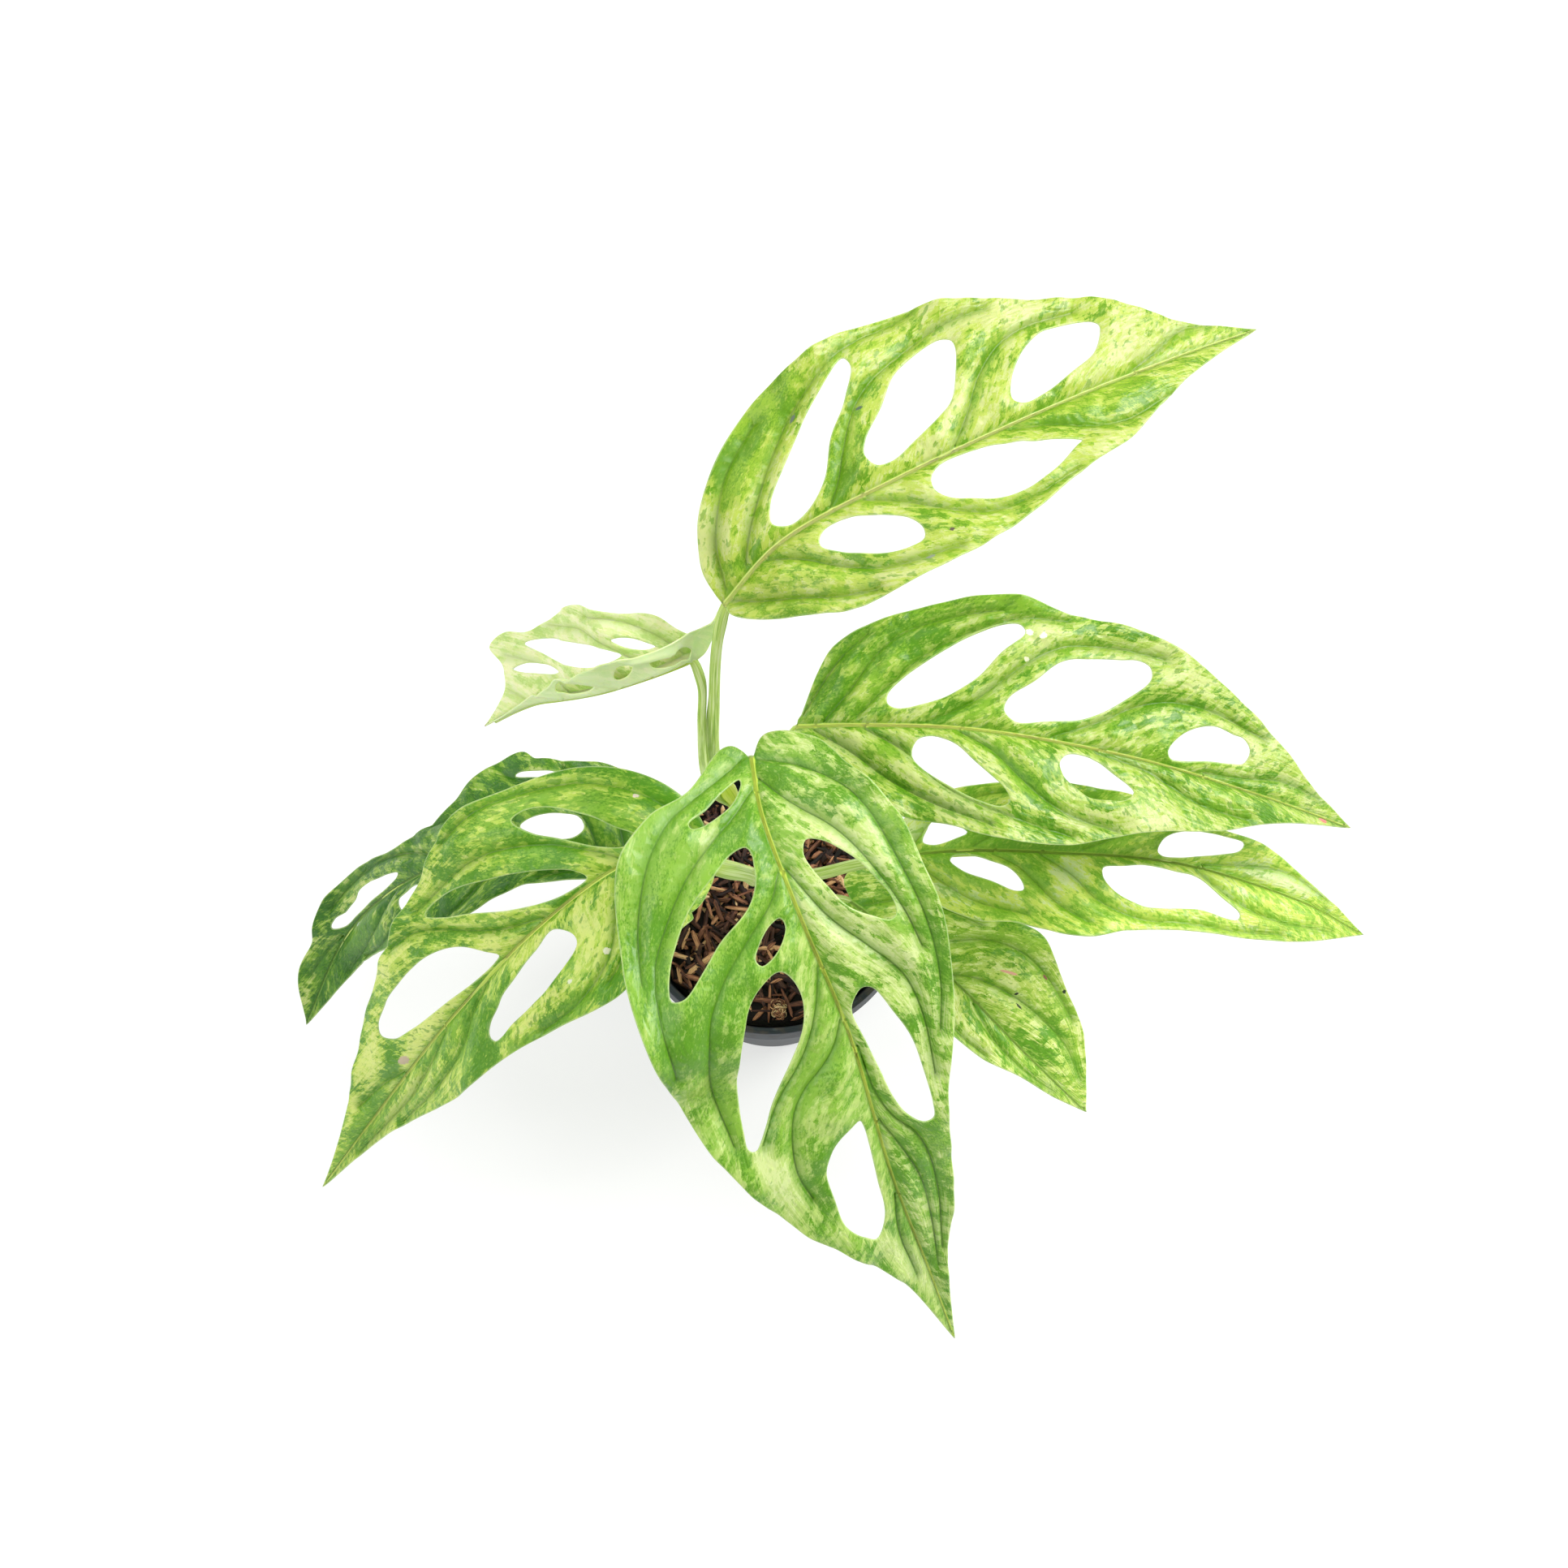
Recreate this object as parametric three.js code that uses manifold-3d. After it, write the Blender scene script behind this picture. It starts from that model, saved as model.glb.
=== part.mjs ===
import * as THREE from 'three';
import { mergeVertices } from 'three/addons/utils/BufferGeometryUtils.js';
import Module from 'manifold-3d';

// A young variegated swiss cheese vine in a small round nursery pot.
// Millimetres, +Z up. The origin is the middle of the pot's foot, on the table.

// The pot: thin moulded plastic, tapered, with a stepped rim band and drain holes.
// It stands on a ring at its edge and on a flat boss in its middle.
const POT_HEIGHT = 78;
const RIM_RADIUS = 45;
const RIM_BAND_HEIGHT = 9;
const FOOT_RADIUS = 31;
const WALL = 1.5;
const FLOOR_HEIGHT = 2.5;
const BOSS_RADIUS = 9;
const POT_SIDES = 48;
const DRAIN_COUNT = 6;
const DRAIN_RADIUS = 3.2;
const DRAIN_CIRCLE = 19;

// The potting mix: a plug that fills the pot to just under the rim, with bark chips on top.
const SOIL_TOP = 72;
const SOIL_GAP = 0.35;
const CHIP_COUNT = 56;
const CHIP_LENGTH = [6, 11];
const CHIP_WIDTH = [2, 3];
const CHIP_RISE = [0.7, 1.9];
const CHIP_ROOT = 3.5;

// The plant: one short leaning stem, and eight leaves on their own stalks.
const STEM_RADIUS = 2.7;
const STEM_GAP = 0.35;
const BLADE_THICKNESS = 0.8;
const RIB_TIP_RADIUS = 0.5;
const MESH_SPACING = 9;
const EDGE_SPACING = 6;

const STEM_PATH = [[5, -3, 48], [4, -2, 73], [1, 2, 100], [-5, 6, 130], [-12, 10, 156], [-15, 13, 163]];

// Each leaf has a rib, given by points from its base to its tip, and two halves.
// Left is the left hand of someone who walks from base to tip on the upper face.
// ribSink is how far the rib below the blade reaches up into it.
// fold is the angle at which a half leaves the rib, at the base and at the tip, in degrees,
// and curl is how far it bends back down, in degrees for each 10 mm.
// edge lists [along the rib, out from the rib] in mm. Each hole is
// [along, out, along, out, width, egg, bow]: its inner and outer end, its width, how far its
// fullest part lies towards one end, and how far its middle bows sideways.
// veins lists where the side veins leave the rib, and lean how far they slant forward there.
const LEAVES = [
  {
    name: 'leaf_top',
    colour: 0x9cc63a,
    stalk: [[-14.5, 12.5, 161], [-16.2, 15.5, 172], [-15.8, 20, 205], [-14.2, 29, 236]],
    stalkRadius: [1.8, 1.5],
    ribSink: 0.2,
    rib: [[-13, 34, 250], [3, 48, 262], [34, 64, 268], [79, 89, 262], [114, 109, 250], [139, 124, 236]],
    wave: [1.4, 46],
    left: {
      fold: [12, 8],
      curl: [2.5, 2],
      edge: [[0, 0], [4, 10], [20, 25], [36, 37], [64, 43], [88, 42], [117, 32], [135, 26], [161, 10], [187, 0]],
      holes: [[26, 2, 66, 37, 10, 0.5, 0], [56, 6, 92, 29, 17, -0.1, -1], [101, 6, 135, 15, 14, 0, 3]],
      veins: [6, 36, 72, 104, 128, 150, 168],
      lean: [0.9, 3.2],
    },
    right: {
      fold: [12, 8],
      curl: [3, 2.5],
      edge: [
        [0, 0], [1, 5], [11, 17], [30, 28], [58, 30], [87, 27], [106, 22], [124, 19], [143, 11], [167, 4], [187, 0],
      ],
      holes: [[68, 7, 111, 15, 16, 0.5, 1], [34, 6, 59, 21, 13, 0.1, -1]],
      veins: [8, 22, 50, 88, 112, 136, 158],
      lean: [0.9, 3.2],
    },
  },
  {
    name: 'leaf_young',
    colour: 0xcfe39a,
    stalk: [[-10, 8.5, 150], [-17, 9.5, 160], [-19.2, 12.5, 173], [-19.4, 18, 198], [-19.2, 24, 217]],
    stalkRadius: [1.5, 1.3],
    ribSink: 0.9,
    rib: [[-21, 29, 226], [-33, 22, 230], [-45, 19, 227], [-57, 20, 217], [-68, 22, 205], [-82, 21, 188]],
    wave: [1, 24],
    left: {
      fold: [98, 92],
      curl: [-1, -1],
      edge: [[0, 0], [-4, 2], [-7, 9], [-7, 15], [-4, 11], [6, 12], [20, 14], [34, 11], [46, 6], [59, 3], [83, 0]],
      holes: [[4, 3, 14, 3, 4, 0, 0.5], [18.5, 6.5, 23, 4, 2.4, 0, 0], [30, 5, 43, 4.5, 6, 0, 0]],
      veins: [3, 18, 34, 50, 64],
      lean: [0.9, 2.5],
    },
    right: {
      fold: [22, 18],
      curl: [2, 2],
      edge: [
        [0, 0], [-3, 2], [1, 7], [8, 15], [17, 18], [31, 23], [41, 25], [53, 22], [58, 20], [64, 22], [70, 20],
        [67, 12], [70, 6], [83, 0],
      ],
      holes: [[21, 7, 59, 17, 7, 0, -1], [10, 6, 23, 12, 3, 0, 0], [47, 7, 64, 11, 3, 0, 0]],
      veins: [3, 16, 40, 58, 70],
      lean: [0.9, 2],
    },
  },
  {
    name: 'leaf_right_back',
    colour: 0x86b83c,
    stalk: [[-7, 7.5, 138], [0, 9, 146], [4, 14, 165], [6, 19, 178]],
    stalkRadius: [2.2, 1.7],
    ribSink: 0.2,
    rib: [[7, 22, 185], [24, 20, 192], [59, 18, 194], [107, 14, 180], [146, 9, 160], [177, 5, 138]],
    wave: [1.4, 50],
    left: {
      fold: [12, 6],
      curl: [2.5, 2],
      edge: [[0, 0], [12, 23], [31, 33], [57, 40], [81, 39], [100, 38], [118, 33], [143, 23], [164, 10], [186, 0]],
      holes: [[28, 5, 67, 31, 13, 0.1, 0], [62, 5, 106, 27, 15, 0, 0], [114, 3, 143, 11, 11, -0.2, 2]],
      veins: [4, 16, 44, 78, 104, 132, 156],
      lean: [1, 3],
    },
    right: {
      fold: [8, 6],
      curl: [3, 3],
      edge: [
        [0, 0], [2, 10], [14, 21], [33, 28], [46, 30], [64, 33], [84, 31], [105, 24], [134, 16], [148, 10], [164, 5],
        [186, 0],
      ],
      holes: [[37, 5, 65, 23, 11, 0.3, -1], [80, 7, 103, 14, 12, 0.1, 0]],
      veins: [6, 22, 54, 92, 116, 142, 162],
      lean: [1, 3],
    },
  },
  {
    name: 'leaf_right',
    colour: 0x86b83c,
    stalk: [[1, 2, 100], [8, -1, 106], [16, -4, 120], [28, -5, 134]],
    stalkRadius: [2.2, 1.7],
    ribSink: 0.2,
    rib: [[38, -4, 140], [57, -4, 146], [86, -5, 147], [124, -5, 136], [164, -11, 115], [187, -18, 98]],
    wave: [1.2, 44],
    left: {
      fold: [8, 6],
      curl: [2.5, 2],
      edge: [[0, 0], [3, 10], [14, 17], [35, 21], [54, 21], [76, 18], [100, 13], [118, 12], [139, 6], [163, 0]],
      holes: [[9, 3, 22, 9, 9, -0.2, 1], [36, 9, 64, 14, 8, 0.1, 0], [82, 3, 111, 9, 8, 0.2, 1]],
      veins: [4, 28, 66, 98, 124, 142],
      lean: [1, 3],
    },
    right: {
      fold: [8, 6],
      curl: [3, 3],
      edge: [
        [0, 0], [1, 9], [12, 17], [27, 23], [37, 23], [56, 27], [70, 24], [95, 21], [117, 18], [140, 12], [163, 0],
      ],
      holes: [[16, 3, 39, 13, 8, -0.1, -1], [63, 6, 112, 12, 11, 0.2, -1]],
      veins: [4, 30, 44, 92, 116, 138],
      lean: [1, 3],
    },
  },
  {
    name: 'leaf_round',
    colour: 0x7fb046,
    stalk: [[3.3, -1, 80], [9, -3, 87], [16, -6, 99]],
    stalkRadius: [2, 1.6],
    ribSink: 0.2,
    rib: [[25, -9, 108], [40, -22, 112], [57, -36, 112], [78, -54, 98], [100, -70, 76]],
    wave: [1, 40],
    left: {
      fold: [6, 6],
      curl: [2.5, 2],
      edge: [
        [0, 0], [-6, 4], [-4, 11], [4, 16], [33, 20], [52, 29], [61, 27], [85, 19], [94, 13], [108, 0],
      ],
      holes: [],
      veins: [2, 14, 28, 42, 56, 70, 84],
      lean: [0.9, 2],
    },
    right: {
      fold: [6, 6],
      curl: [2.5, 2],
      edge: [
        [0, 0], [-4, 5], [2, 11], [14, 13], [32, 15], [54, 13], [67, 11], [79, 7], [94, 4], [108, 0],
      ],
      holes: [],
      veins: [2, 14, 28, 42, 56, 70, 84],
      lean: [0.9, 2],
    },
  },
  {
    name: 'leaf_front',
    colour: 0x7ab04a,
    stalk: [[-4, 5, 124], [-4, -1, 134], [-5, 0, 160], [-5.6, 3, 195]],
    stalkRadius: [2.3, 1.8],
    ribSink: 0.2,
    rib: [[-5, 3, 215], [-2, -16, 221], [8, -43, 218], [22, -71, 195], [35, -104, 158], [47, -126, 122], [56, -144, 96]],
    wave: [1.6, 54],
    left: {
      fold: [10, 6],
      curl: [3, 3],
      edge: [
        [0, 0], [-5, 4], [-5, 9], [-1, 18], [16, 29], [35, 36], [54, 37], [72, 36], [94, 31], [118, 22], [150, 17],
        [166, 13], [185, 6], [216, 0],
      ],
      holes: [[33, 8, 63, 24, 10, 0.2, 1], [78, 7, 128, 14, 12, 0.2, 0]],
      veins: [3, 14, 46, 70, 96, 124, 150, 176],
      lean: [1, 3.2],
    },
    right: {
      fold: [10, 6],
      curl: [3, 3],
      edge: [
        [0, 0], [-3, 5], [-1, 9], [12, 19], [17, 31], [25, 43], [46, 51], [66, 54], [92, 52], [104, 50], [125, 41],
        [145, 31], [158, 22], [170, 15], [186, 8], [216, 0],
      ],
      holes: [
        [9, 4, 21, 24, 5, 0.5, -2], [30, 7, 57, 43, 10, 0.2, 0], [50, 5, 58, 17, 6, 0.1, 0],
        [63, 12, 116, 36, 16, 0.5, 2], [119, 7, 161, 12, 15, 0.1, 3],
      ],
      veins: [1, 14, 40, 56, 92, 128, 152, 178],
      lean: [0.8, 3.2],
    },
  },
  {
    name: 'leaf_left',
    colour: 0x8cbc3e,
    stalk: [[-1, 3, 108], [-4.5, -4, 116], [-5.5, -10, 135], [-8, -14, 153]],
    stalkRadius: [2.4, 2],
    ribSink: 0.2,
    rib: [
      [-15, -15, 165], [-26, -13, 174], [-43, -19, 180], [-66, -34, 172], [-94, -53, 140], [-121, -70, 90],
      [-145, -88, 46],
    ],
    wave: [1.5, 52],
    left: {
      fold: [8, 6],
      curl: [3, 3],
      edge: [
        [0, 0], [2, 8], [6, 17], [32, 27], [53, 32], [59, 32], [78, 27], [101, 22], [124, 20], [162, 11], [184, 6],
        [222, 0],
      ],
      holes: [[55, 8, 103, 16, 12, 0.5, 0]],
      veins: [4, 18, 40, 86, 112, 138, 166, 192],
      lean: [1, 3.2],
    },
    right: {
      fold: [8, 6],
      curl: [3, 3],
      edge: [
        [0, 0], [8, 8], [16, 19], [23, 26], [36, 34], [51, 39], [68, 42], [83, 39], [107, 33], [135, 26], [154, 20],
        [166, 15], [193, 6], [222, 0],
      ],
      holes: [[26, 5, 52, 31, 8, -0.1, -1], [44, 2, 96, 28, 9, 0.3, 1], [82, 2, 145, 13, 14, 0, 3]],
      veins: [4, 24, 40, 66, 112, 138, 164, 190],
      lean: [1, 3.2],
    },
  },
  {
    name: 'leaf_left_low',
    colour: 0x6da33c,
    stalk: [[2, 1, 90], [-8, 4, 95], [-24, 4.5, 107]],
    stalkRadius: [2, 1.7],
    ribSink: 0.2,
    rib: [
      [-43, 4, 118], [-62, 2, 129], [-82, 1, 127], [-104, 1, 112], [-125, -1, 84], [-141, -7, 54], [-157, -28, 20],
    ],
    wave: [1.2, 44],
    left: {
      fold: [6, 6],
      curl: [3, 3],
      edge: [
        [0, 0], [-1, 3], [2, 7], [10, 10], [25, 11], [38, 12], [50, 18], [59, 22], [71, 22], [86, 21], [128, 13],
        [152, 8], [182, 0],
      ],
      holes: [[70, 9, 91, 7, 8, -0.3, 0]],
      veins: [3, 20, 42, 68, 92, 116, 142],
      lean: [1, 3],
    },
    right: {
      fold: [4, 6],
      curl: [6, 3],
      edge: [
        [0, 0], [-4, 9], [-2, 25], [23, 29], [32, 30], [37, 33], [52, 26], [67, 17], [88, 12], [115, 14], [139, 13],
        [149, 9], [164, 9], [182, 0],
      ],
      holes: [[15, 9, 37, 6, 8, -0.3, 0], [15, 23, 40, 25, 3, 0.2, -1], [91, 3, 147, 6, 6, 0.4, -1]],
      veins: [3, 8, 44, 66, 84, 120, 146],
      lean: [1, 3],
    },
  },
];

const wasm = await Module();
wasm.setup();

// One repeatable draw of numbers between 0 and 1, so the chips always fall the same way.
function numberDraw(seed) {
  let state = seed;
  return () => {
    state = (state * 1664525 + 1013904223) % 4294967296;
    return state / 4294967296;
  };
}

function between([low, high], share) {
  return low + (high - low) * share;
}

function radians(degrees) {
  return degrees * Math.PI / 180;
}

function curveThrough(points) {
  const vectors = points.map((p) => new THREE.Vector3(p[0], p[1], p[2] ?? 0));
  const curve = new THREE.CatmullRomCurve3(vectors, false, 'centripetal');
  curve.arcLengthDivisions = 400;
  return curve;
}

// Only the corner positions matter for a solid, and corners that coincide become one.
function toSolid(geometry) {
  const bare = new THREE.BufferGeometry();
  bare.setAttribute('position', geometry.getAttribute('position').clone());
  if (geometry.index) bare.setIndex(geometry.index.clone());
  const merged = mergeVertices(bare, 1e-4);
  return new wasm.Manifold(new wasm.Mesh({
    numProp: 3,
    vertProperties: Float32Array.from(merged.getAttribute('position').array),
    triVerts: Uint32Array.from(merged.index.array),
  }));
}

function toGeometry(solid) {
  const mesh = solid.getMesh();
  const geometry = new THREE.BufferGeometry();
  geometry.setAttribute('position', new THREE.BufferAttribute(mesh.vertProperties.slice(), 3));
  geometry.setIndex(new THREE.BufferAttribute(mesh.triVerts.slice(), 1));
  return geometry;
}

// A profile of [radius, height] pairs turned about the Z axis.
function turned(profile, sides) {
  const points = profile.map(([radius, height]) => new THREE.Vector2(radius, height));
  const geometry = new THREE.LatheGeometry(points, sides);
  geometry.rotateX(Math.PI / 2);
  return geometry;
}

// A round rod with closed ends, thinner or thicker along its way, bent to follow a path.
function bentRod(path, radiusAt, sections, sides) {
  const profile = [[0, 0]];
  for (let i = 0; i <= sections; i += 1) profile.push([1, i]);
  profile.push([0, sections]);
  const geometry = turned(profile, sides);
  const frames = path.computeFrenetFrames(sections, false);
  const position = geometry.getAttribute('position');
  for (let i = 0; i < position.count; i += 1) {
    const ring = Math.round(position.getZ(i));
    const share = ring / sections;
    const radius = radiusAt(share);
    const place = path.getPointAt(share);
    place.addScaledVector(frames.normals[ring], position.getX(i) * radius);
    place.addScaledVector(frames.binormals[ring], position.getY(i) * radius);
    position.setXYZ(i, place.x, place.y, place.z);
  }
  return geometry;
}

// Where the rib is at a distance from the leaf's base, with the directions along it,
// to its left and up from the blade. Past either end the rib runs straight on.
function ribFrame(leaf, along) {
  const share = THREE.MathUtils.clamp(along / leaf.length, 0, 1);
  const forward = leaf.curve.getTangentAt(share);
  const point = leaf.curve.getPointAt(share);
  point.addScaledVector(forward, along - share * leaf.length);
  const up = new THREE.Vector3(0, 0, 1);
  up.addScaledVector(forward, -forward.z).normalize();
  const left = new THREE.Vector3().crossVectors(up, forward);
  return { point, forward, up, left, share };
}

// How many side veins lie between a point of the blade and the leaf's base.
function veinCount(half, length, along, out) {
  const slant = (half.lean[1] - half.lean[0]) / length;
  const start = (along - half.lean[0] * out) / (1 + slant * out);
  const veins = half.veins;
  if (start <= veins[0]) return (start - veins[0]) / 12;
  for (let i = 1; i < veins.length; i += 1) {
    if (start <= veins[i]) return i - 1 + (start - veins[i - 1]) / (veins[i] - veins[i - 1]);
  }
  return veins.length - 1 + (start - veins[veins.length - 1]) / 20;
}

// The blade puffs up a little between its side veins, and its edge waves up and down.
function bladeLift(leaf, half, along, out) {
  const veined = Math.abs(Math.sin(Math.PI * veinCount(half, leaf.length, along, out)));
  const puff = 1.3 * veined * Math.min(1, out / 8) * Math.min(1, Math.max(0, (leaf.length - along) / 40));
  const wave = leaf.wave[0] * Math.sin(2 * Math.PI * along / leaf.wave[1]) * (out / 30) ** 2;
  return puff + wave;
}

function bladePoint(leaf, along, sideways) {
  const frame = ribFrame(leaf, along);
  const half = sideways >= 0 ? leaf.left : leaf.right;
  const out = Math.abs(sideways);
  const fold = radians(between(half.fold, frame.share));
  const curl = radians(between(half.curl, frame.share)) / 10;
  const across = (Math.sin(fold) - Math.sin(fold - curl * out)) / curl;
  const rise = (Math.cos(fold - curl * out) - Math.cos(fold)) / curl;
  const lift = bladeLift(leaf, half, along, out);
  const point = frame.point.clone();
  point.addScaledVector(frame.left, Math.sign(sideways) * (across - lift * Math.sin(fold - curl * out)));
  point.addScaledVector(frame.up, rise + lift * Math.cos(fold - curl * out));
  return point;
}

function bladeNormal(leaf, along, sideways) {
  const step = 0.7;
  const ahead = bladePoint(leaf, along + step, sideways).sub(bladePoint(leaf, along - step, sideways));
  const beside = bladePoint(leaf, along, sideways + step).sub(bladePoint(leaf, along, sideways - step));
  return ahead.cross(beside).normalize();
}

// The blade laid flat: its outline, and one closed line for each hole, as [along, sideways].
function edgePoints(half, side) {
  const curve = curveThrough(half.edge);
  const count = Math.round(curve.getLength() / EDGE_SPACING);
  return curve.getSpacedPoints(count).map((p) => [p.x, p.y * side]);
}

function holePoints([s0, o0, s1, o1, width, egg, bow], side) {
  const length = Math.hypot(s1 - s0, o1 - o0);
  const ahead = [(s1 - s0) / length, (o1 - o0) / length];
  const count = Math.max(10, Math.round((length + width) * 1.6 / EDGE_SPACING));
  const points = [];
  for (let i = 0; i < count; i += 1) {
    const turn = 2 * Math.PI * i / count;
    const way = (1 - Math.cos(turn)) / 2 * length;
    const aside = width / 2 * Math.sin(turn) * (1 + egg * Math.cos(turn)) + bow * Math.sin(turn) ** 2;
    points.push([s0 + ahead[0] * way - ahead[1] * aside, (o0 + ahead[1] * way + ahead[0] * aside) * side]);
  }
  return points;
}

function flatRings(leaf) {
  const outline = edgePoints(leaf.right, -1);
  outline.push(...edgePoints(leaf.left, 1).slice(1, -1).reverse());
  const holes = leaf.left.holes.map((hole) => holePoints(hole, 1));
  holes.push(...leaf.right.holes.map((hole) => holePoints(hole, -1)));
  return [outline, ...holes];
}

// A point is on the blade if a line from it crosses the rings an odd number of times.
function isInside([x, y], rings) {
  let inside = false;
  for (const ring of rings) {
    for (let i = 0, j = ring.length - 1; i < ring.length; j = i, i += 1) {
      const [ax, ay] = ring[i];
      const [bx, by] = ring[j];
      if ((ay > y) !== (by > y) && x < (bx - ax) * (y - ay) / (by - ay) + ax) inside = !inside;
    }
  }
  return inside;
}

function nearestRing([x, y], rings) {
  let nearest = Infinity;
  for (const ring of rings) {
    for (const [rx, ry] of ring) nearest = Math.min(nearest, Math.hypot(rx - x, ry - y));
  }
  return nearest;
}

// Joins scattered points into triangles that are as little slanted as they can be: each new
// point removes the triangles whose circle holds it and is joined to the edge of that gap.
function joinPoints(points) {
  const far = 1e4;
  const all = [...points, [-far, -far], [far, -far], [0, far]];
  const n = points.length;
  let triangles = [circled(all, n, n + 1, n + 2)];
  for (let p = 0; p < n; p += 1) {
    const [x, y] = all[p];
    const edges = new Map();
    const kept = [];
    for (const t of triangles) {
      if ((x - t.x) ** 2 + (y - t.y) ** 2 >= t.r2) {
        kept.push(t);
        continue;
      }
      for (const [a, b] of [[t.a, t.b], [t.b, t.c], [t.c, t.a]]) {
        if (edges.has(`${b},${a}`)) edges.delete(`${b},${a}`);
        else edges.set(`${a},${b}`, [a, b]);
      }
    }
    for (const [a, b] of edges.values()) kept.push(circled(all, a, b, p));
    triangles = kept;
  }
  return triangles.filter((t) => t.a < n && t.b < n && t.c < n).map((t) => [t.a, t.b, t.c]);
}

function circled(points, a, b, c) {
  const [ax, ay] = points[a];
  const bx = points[b][0] - ax;
  const by = points[b][1] - ay;
  const cx = points[c][0] - ax;
  const cy = points[c][1] - ay;
  const d = 2 * (bx * cy - by * cx);
  const x = (cy * (bx * bx + by * by) - by * (cx * cx + cy * cy)) / d;
  const y = (bx * (cx * cx + cy * cy) - cx * (bx * bx + by * by)) / d;
  return { a, b, c, x: ax + x, y: ay + y, r2: x * x + y * y };
}

// The flat blade as triangles. Where a ring's edge is missed, it gets one more point.
function flatTriangles(leaf) {
  let rings = flatRings(leaf);
  for (let round = 0; round < 6; round += 1) {
    const points = rings.flat();
    const reach = Math.max(...points.map((p) => Math.abs(p[1])));
    const rowHeight = MESH_SPACING * Math.sqrt(3) / 2;
    for (let row = -Math.ceil(reach / rowHeight); row * rowHeight <= reach; row += 1) {
      for (let x = -20 + (row & 1) * MESH_SPACING / 2; x < leaf.length; x += MESH_SPACING) {
        const point = [x, row * rowHeight];
        if (isInside(point, rings) && nearestRing(point, rings) > 0.62 * MESH_SPACING) points.push(point);
      }
    }
    const triangles = joinPoints(points);
    const joined = new Set(triangles.flatMap(([a, b, c]) => [`${a},${b}`, `${b},${c}`, `${c},${a}`]));
    let first = 0;
    let missed = 0;
    const finer = [];
    for (const ring of rings) {
      const next = [];
      for (let i = 0; i < ring.length; i += 1) {
        const j = (i + 1) % ring.length;
        next.push(ring[i]);
        if (!joined.has(`${first + i},${first + j}`) && !joined.has(`${first + j},${first + i}`)) {
          next.push([(ring[i][0] + ring[j][0]) / 2, (ring[i][1] + ring[j][1]) / 2]);
          missed += 1;
        }
      }
      first += ring.length;
      finer.push(next);
    }
    if (missed === 0) {
      const onBlade = triangles.filter((t) => isInside([
        (points[t[0]][0] + points[t[1]][0] + points[t[2]][0]) / 3,
        (points[t[0]][1] + points[t[1]][1] + points[t[2]][1]) / 3,
      ], rings));
      return { points, triangles: onBlade };
    }
    rings = finer;
  }
  throw new Error(`${leaf.name}: the edge of the blade could not be joined`);
}

// The blade as a thin closed solid: an upper face, the same face below, and a wall between.
function bladeGeometry(leaf) {
  const { points, triangles } = flatTriangles(leaf);
  const positions = [];
  for (const offset of [BLADE_THICKNESS / 2, -BLADE_THICKNESS / 2]) {
    for (const [along, sideways] of points) {
      const place = bladePoint(leaf, along, sideways);
      place.addScaledVector(bladeNormal(leaf, along, sideways), offset);
      positions.push(place.x, place.y, place.z);
    }
  }
  const n = points.length;
  const index = [];
  const open = new Map();
  for (const [a, b, c] of triangles) {
    index.push(a, b, c, n + c, n + b, n + a);
    for (const [from, to] of [[a, b], [b, c], [c, a]]) {
      if (open.has(`${to},${from}`)) open.delete(`${to},${from}`);
      else open.set(`${from},${to}`, [from, to]);
    }
  }
  for (const [from, to] of open.values()) {
    index.push(n + from, n + to, to, n + from, to, from);
  }
  const geometry = new THREE.BufferGeometry();
  geometry.setAttribute('position', new THREE.Float32BufferAttribute(positions, 3));
  geometry.setIndex(index);
  return geometry;
}

// The stalk and the rib under the blade are one tapering rod.
function stalkGeometry(leaf) {
  const [footRadius, neckRadius] = leaf.stalkRadius;
  const ribPoints = [];
  for (let i = 0; i <= 8; i += 1) {
    const share = 0.96 * i / 8;
    const radius = between([neckRadius, RIB_TIP_RADIUS], share);
    const frame = ribFrame(leaf, share * leaf.length);
    ribPoints.push(frame.point.addScaledVector(frame.up, leaf.ribSink - radius));
  }
  const path = curveThrough([...leaf.stalk, ...ribPoints.map((p) => [p.x, p.y, p.z])]);
  const total = path.getLength();
  const neck = 1 - 0.96 * leaf.length / total;
  const radiusAt = (share) => (share < neck
    ? between([footRadius, neckRadius], share / neck)
    : between([neckRadius, RIB_TIP_RADIUS], (share - neck) / (1 - neck)));
  return bentRod(path, radiusAt, Math.round(total / 10), 6);
}

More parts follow.
